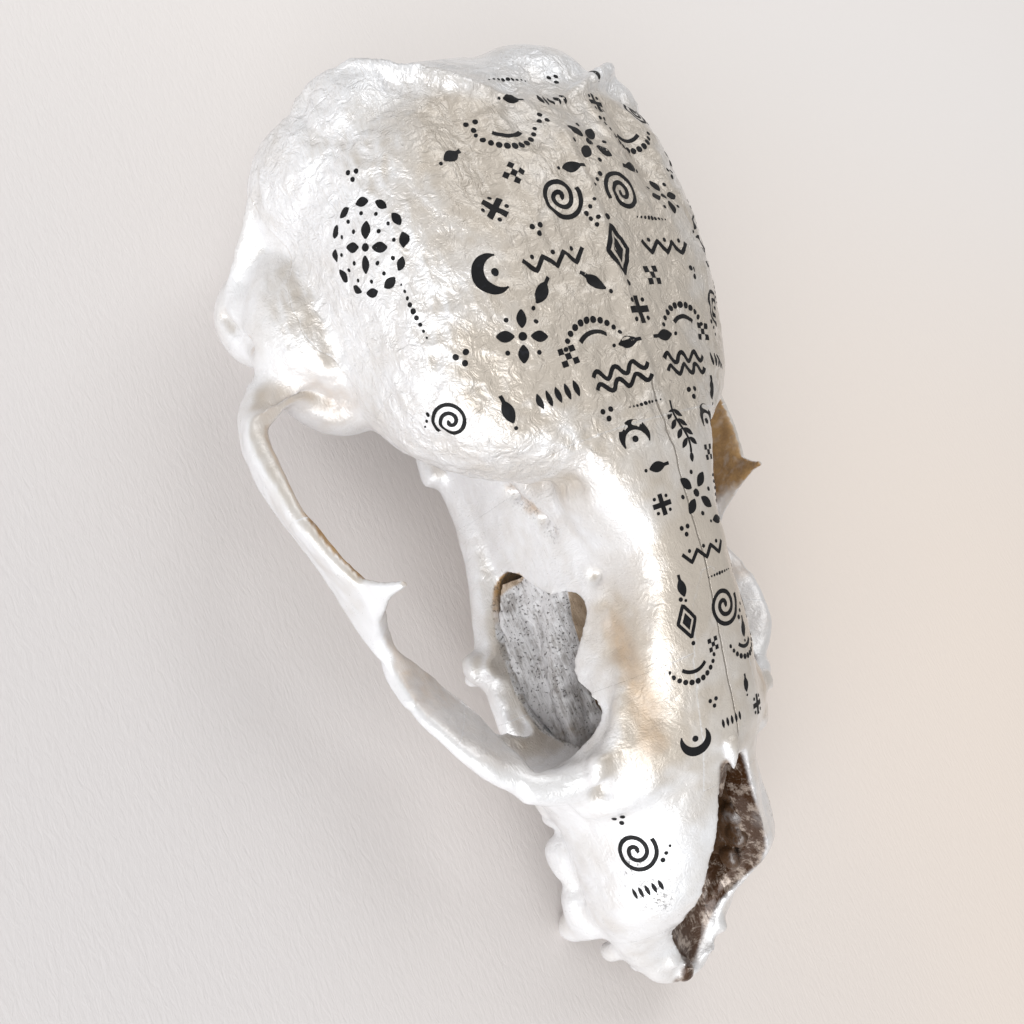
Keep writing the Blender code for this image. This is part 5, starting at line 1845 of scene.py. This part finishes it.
class SkullStudioSettings(PropertyGroup):
    """Sizes, colours and strengths of the studio."""

    sheet_size: length_setting("Sheet size", "Side of the pale sheet", 6.0, 1.0, 20.0)
    # Painted shade: the darker sheet on the left
    sheet_shaded_cool: colour_setting("Cool sheet", "The sheet on the left", (0.70, 0.67, 0.665))
    # Painted light: the lighter sheet towards the top right
    sheet_painted_light: colour_setting("Bright sheet", "The sheet towards the top right", (0.92, 0.88, 0.86))
    sheet_warm: colour_setting("Warm sheet", "The sheet on the right", (0.90, 0.80, 0.72))
    window_power: number_setting("Window", "Power of the window light in watts", 14.5, 200.0)
    window_colour: colour_setting("Window light", "Cool daylight", (0.96, 0.98, 1.0))
    room_colour: colour_setting("Room light", "Light from all round", (1.0, 0.985, 0.965))
    room_strength: number_setting("Room", "Strength of the light from all round", 0.53, 3.0)


class SKULL_OT_bones(Operator):
    """Build the painted bones of the skull"""

    bl_idname = "skull.bones"
    bl_label = "Painted bones"

    def execute(self, context):
        skull_parts(context.scene.skull_bones)
        return {"FINISHED"}


class SKULL_OT_nose(Operator):
    """Build the thin folded bones inside the nose"""

    bl_idname = "skull.nose"
    bl_label = "Nose bones"

    def execute(self, context):
        nose_parts(context.scene.skull_nose)
        return {"FINISHED"}


class SKULL_OT_ink(Operator):
    """Draw the ink marks on the painted bones"""

    bl_idname = "skull.ink"
    bl_label = "Ink marks"

    def execute(self, context):
        ink_parts(context.scene.skull_ink)
        return {"FINISHED"}


class SKULL_OT_studio(Operator):
    """Lay the pale sheet and place the lights and the camera"""

    bl_idname = "skull.studio"
    bl_label = "Studio"

    def execute(self, context):
        studio(context.scene.skull_studio)
        return {"FINISHED"}


class SKULL_PT_panel(Panel):
    """Lists the skull's pieces and their settings"""

    bl_idname = "SKULL_PT_panel"
    bl_label = "Painted seal skull"
    bl_space_type = "VIEW_3D"
    bl_region_type = "UI"
    bl_category = "Skull"

    def draw(self, context):
        for scene_name, _, operator in GROUPS:
            box = self.layout.box()
            group = getattr(context.scene, scene_name)
            for name in group.bl_rna.properties.keys():
                if name not in ("rna_type", "name"):
                    box.prop(group, name)
            box.operator(operator.bl_idname)


# Name in the scene, settings, operator
GROUPS = (
    ("skull_bones", SkullBoneSettings, SKULL_OT_bones),
    ("skull_nose", SkullNoseSettings, SKULL_OT_nose),
    ("skull_ink", SkullInkSettings, SKULL_OT_ink),
    ("skull_studio", SkullStudioSettings, SKULL_OT_studio),
)


def register():
    """Make the settings, the operators and the panel known."""
    for scene_name, settings, operator in GROUPS:
        bpy.utils.register_class(settings)
        bpy.utils.register_class(operator)
        setattr(bpy.types.Scene, scene_name, PointerProperty(type=settings))
    bpy.utils.register_class(SKULL_PT_panel)


def unregister():
    """Take the settings, the operators and the panel away."""
    bpy.utils.unregister_class(SKULL_PT_panel)
    for scene_name, settings, operator in reversed(GROUPS):
        delattr(bpy.types.Scene, scene_name)
        bpy.utils.unregister_class(operator)
        bpy.utils.unregister_class(settings)


def main():
    """Build everything."""
    register()
    bpy.ops.skull.bones()
    bpy.ops.skull.nose()
    bpy.ops.skull.ink()
    bpy.ops.skull.studio()


if __name__ == "__main__":
    main()
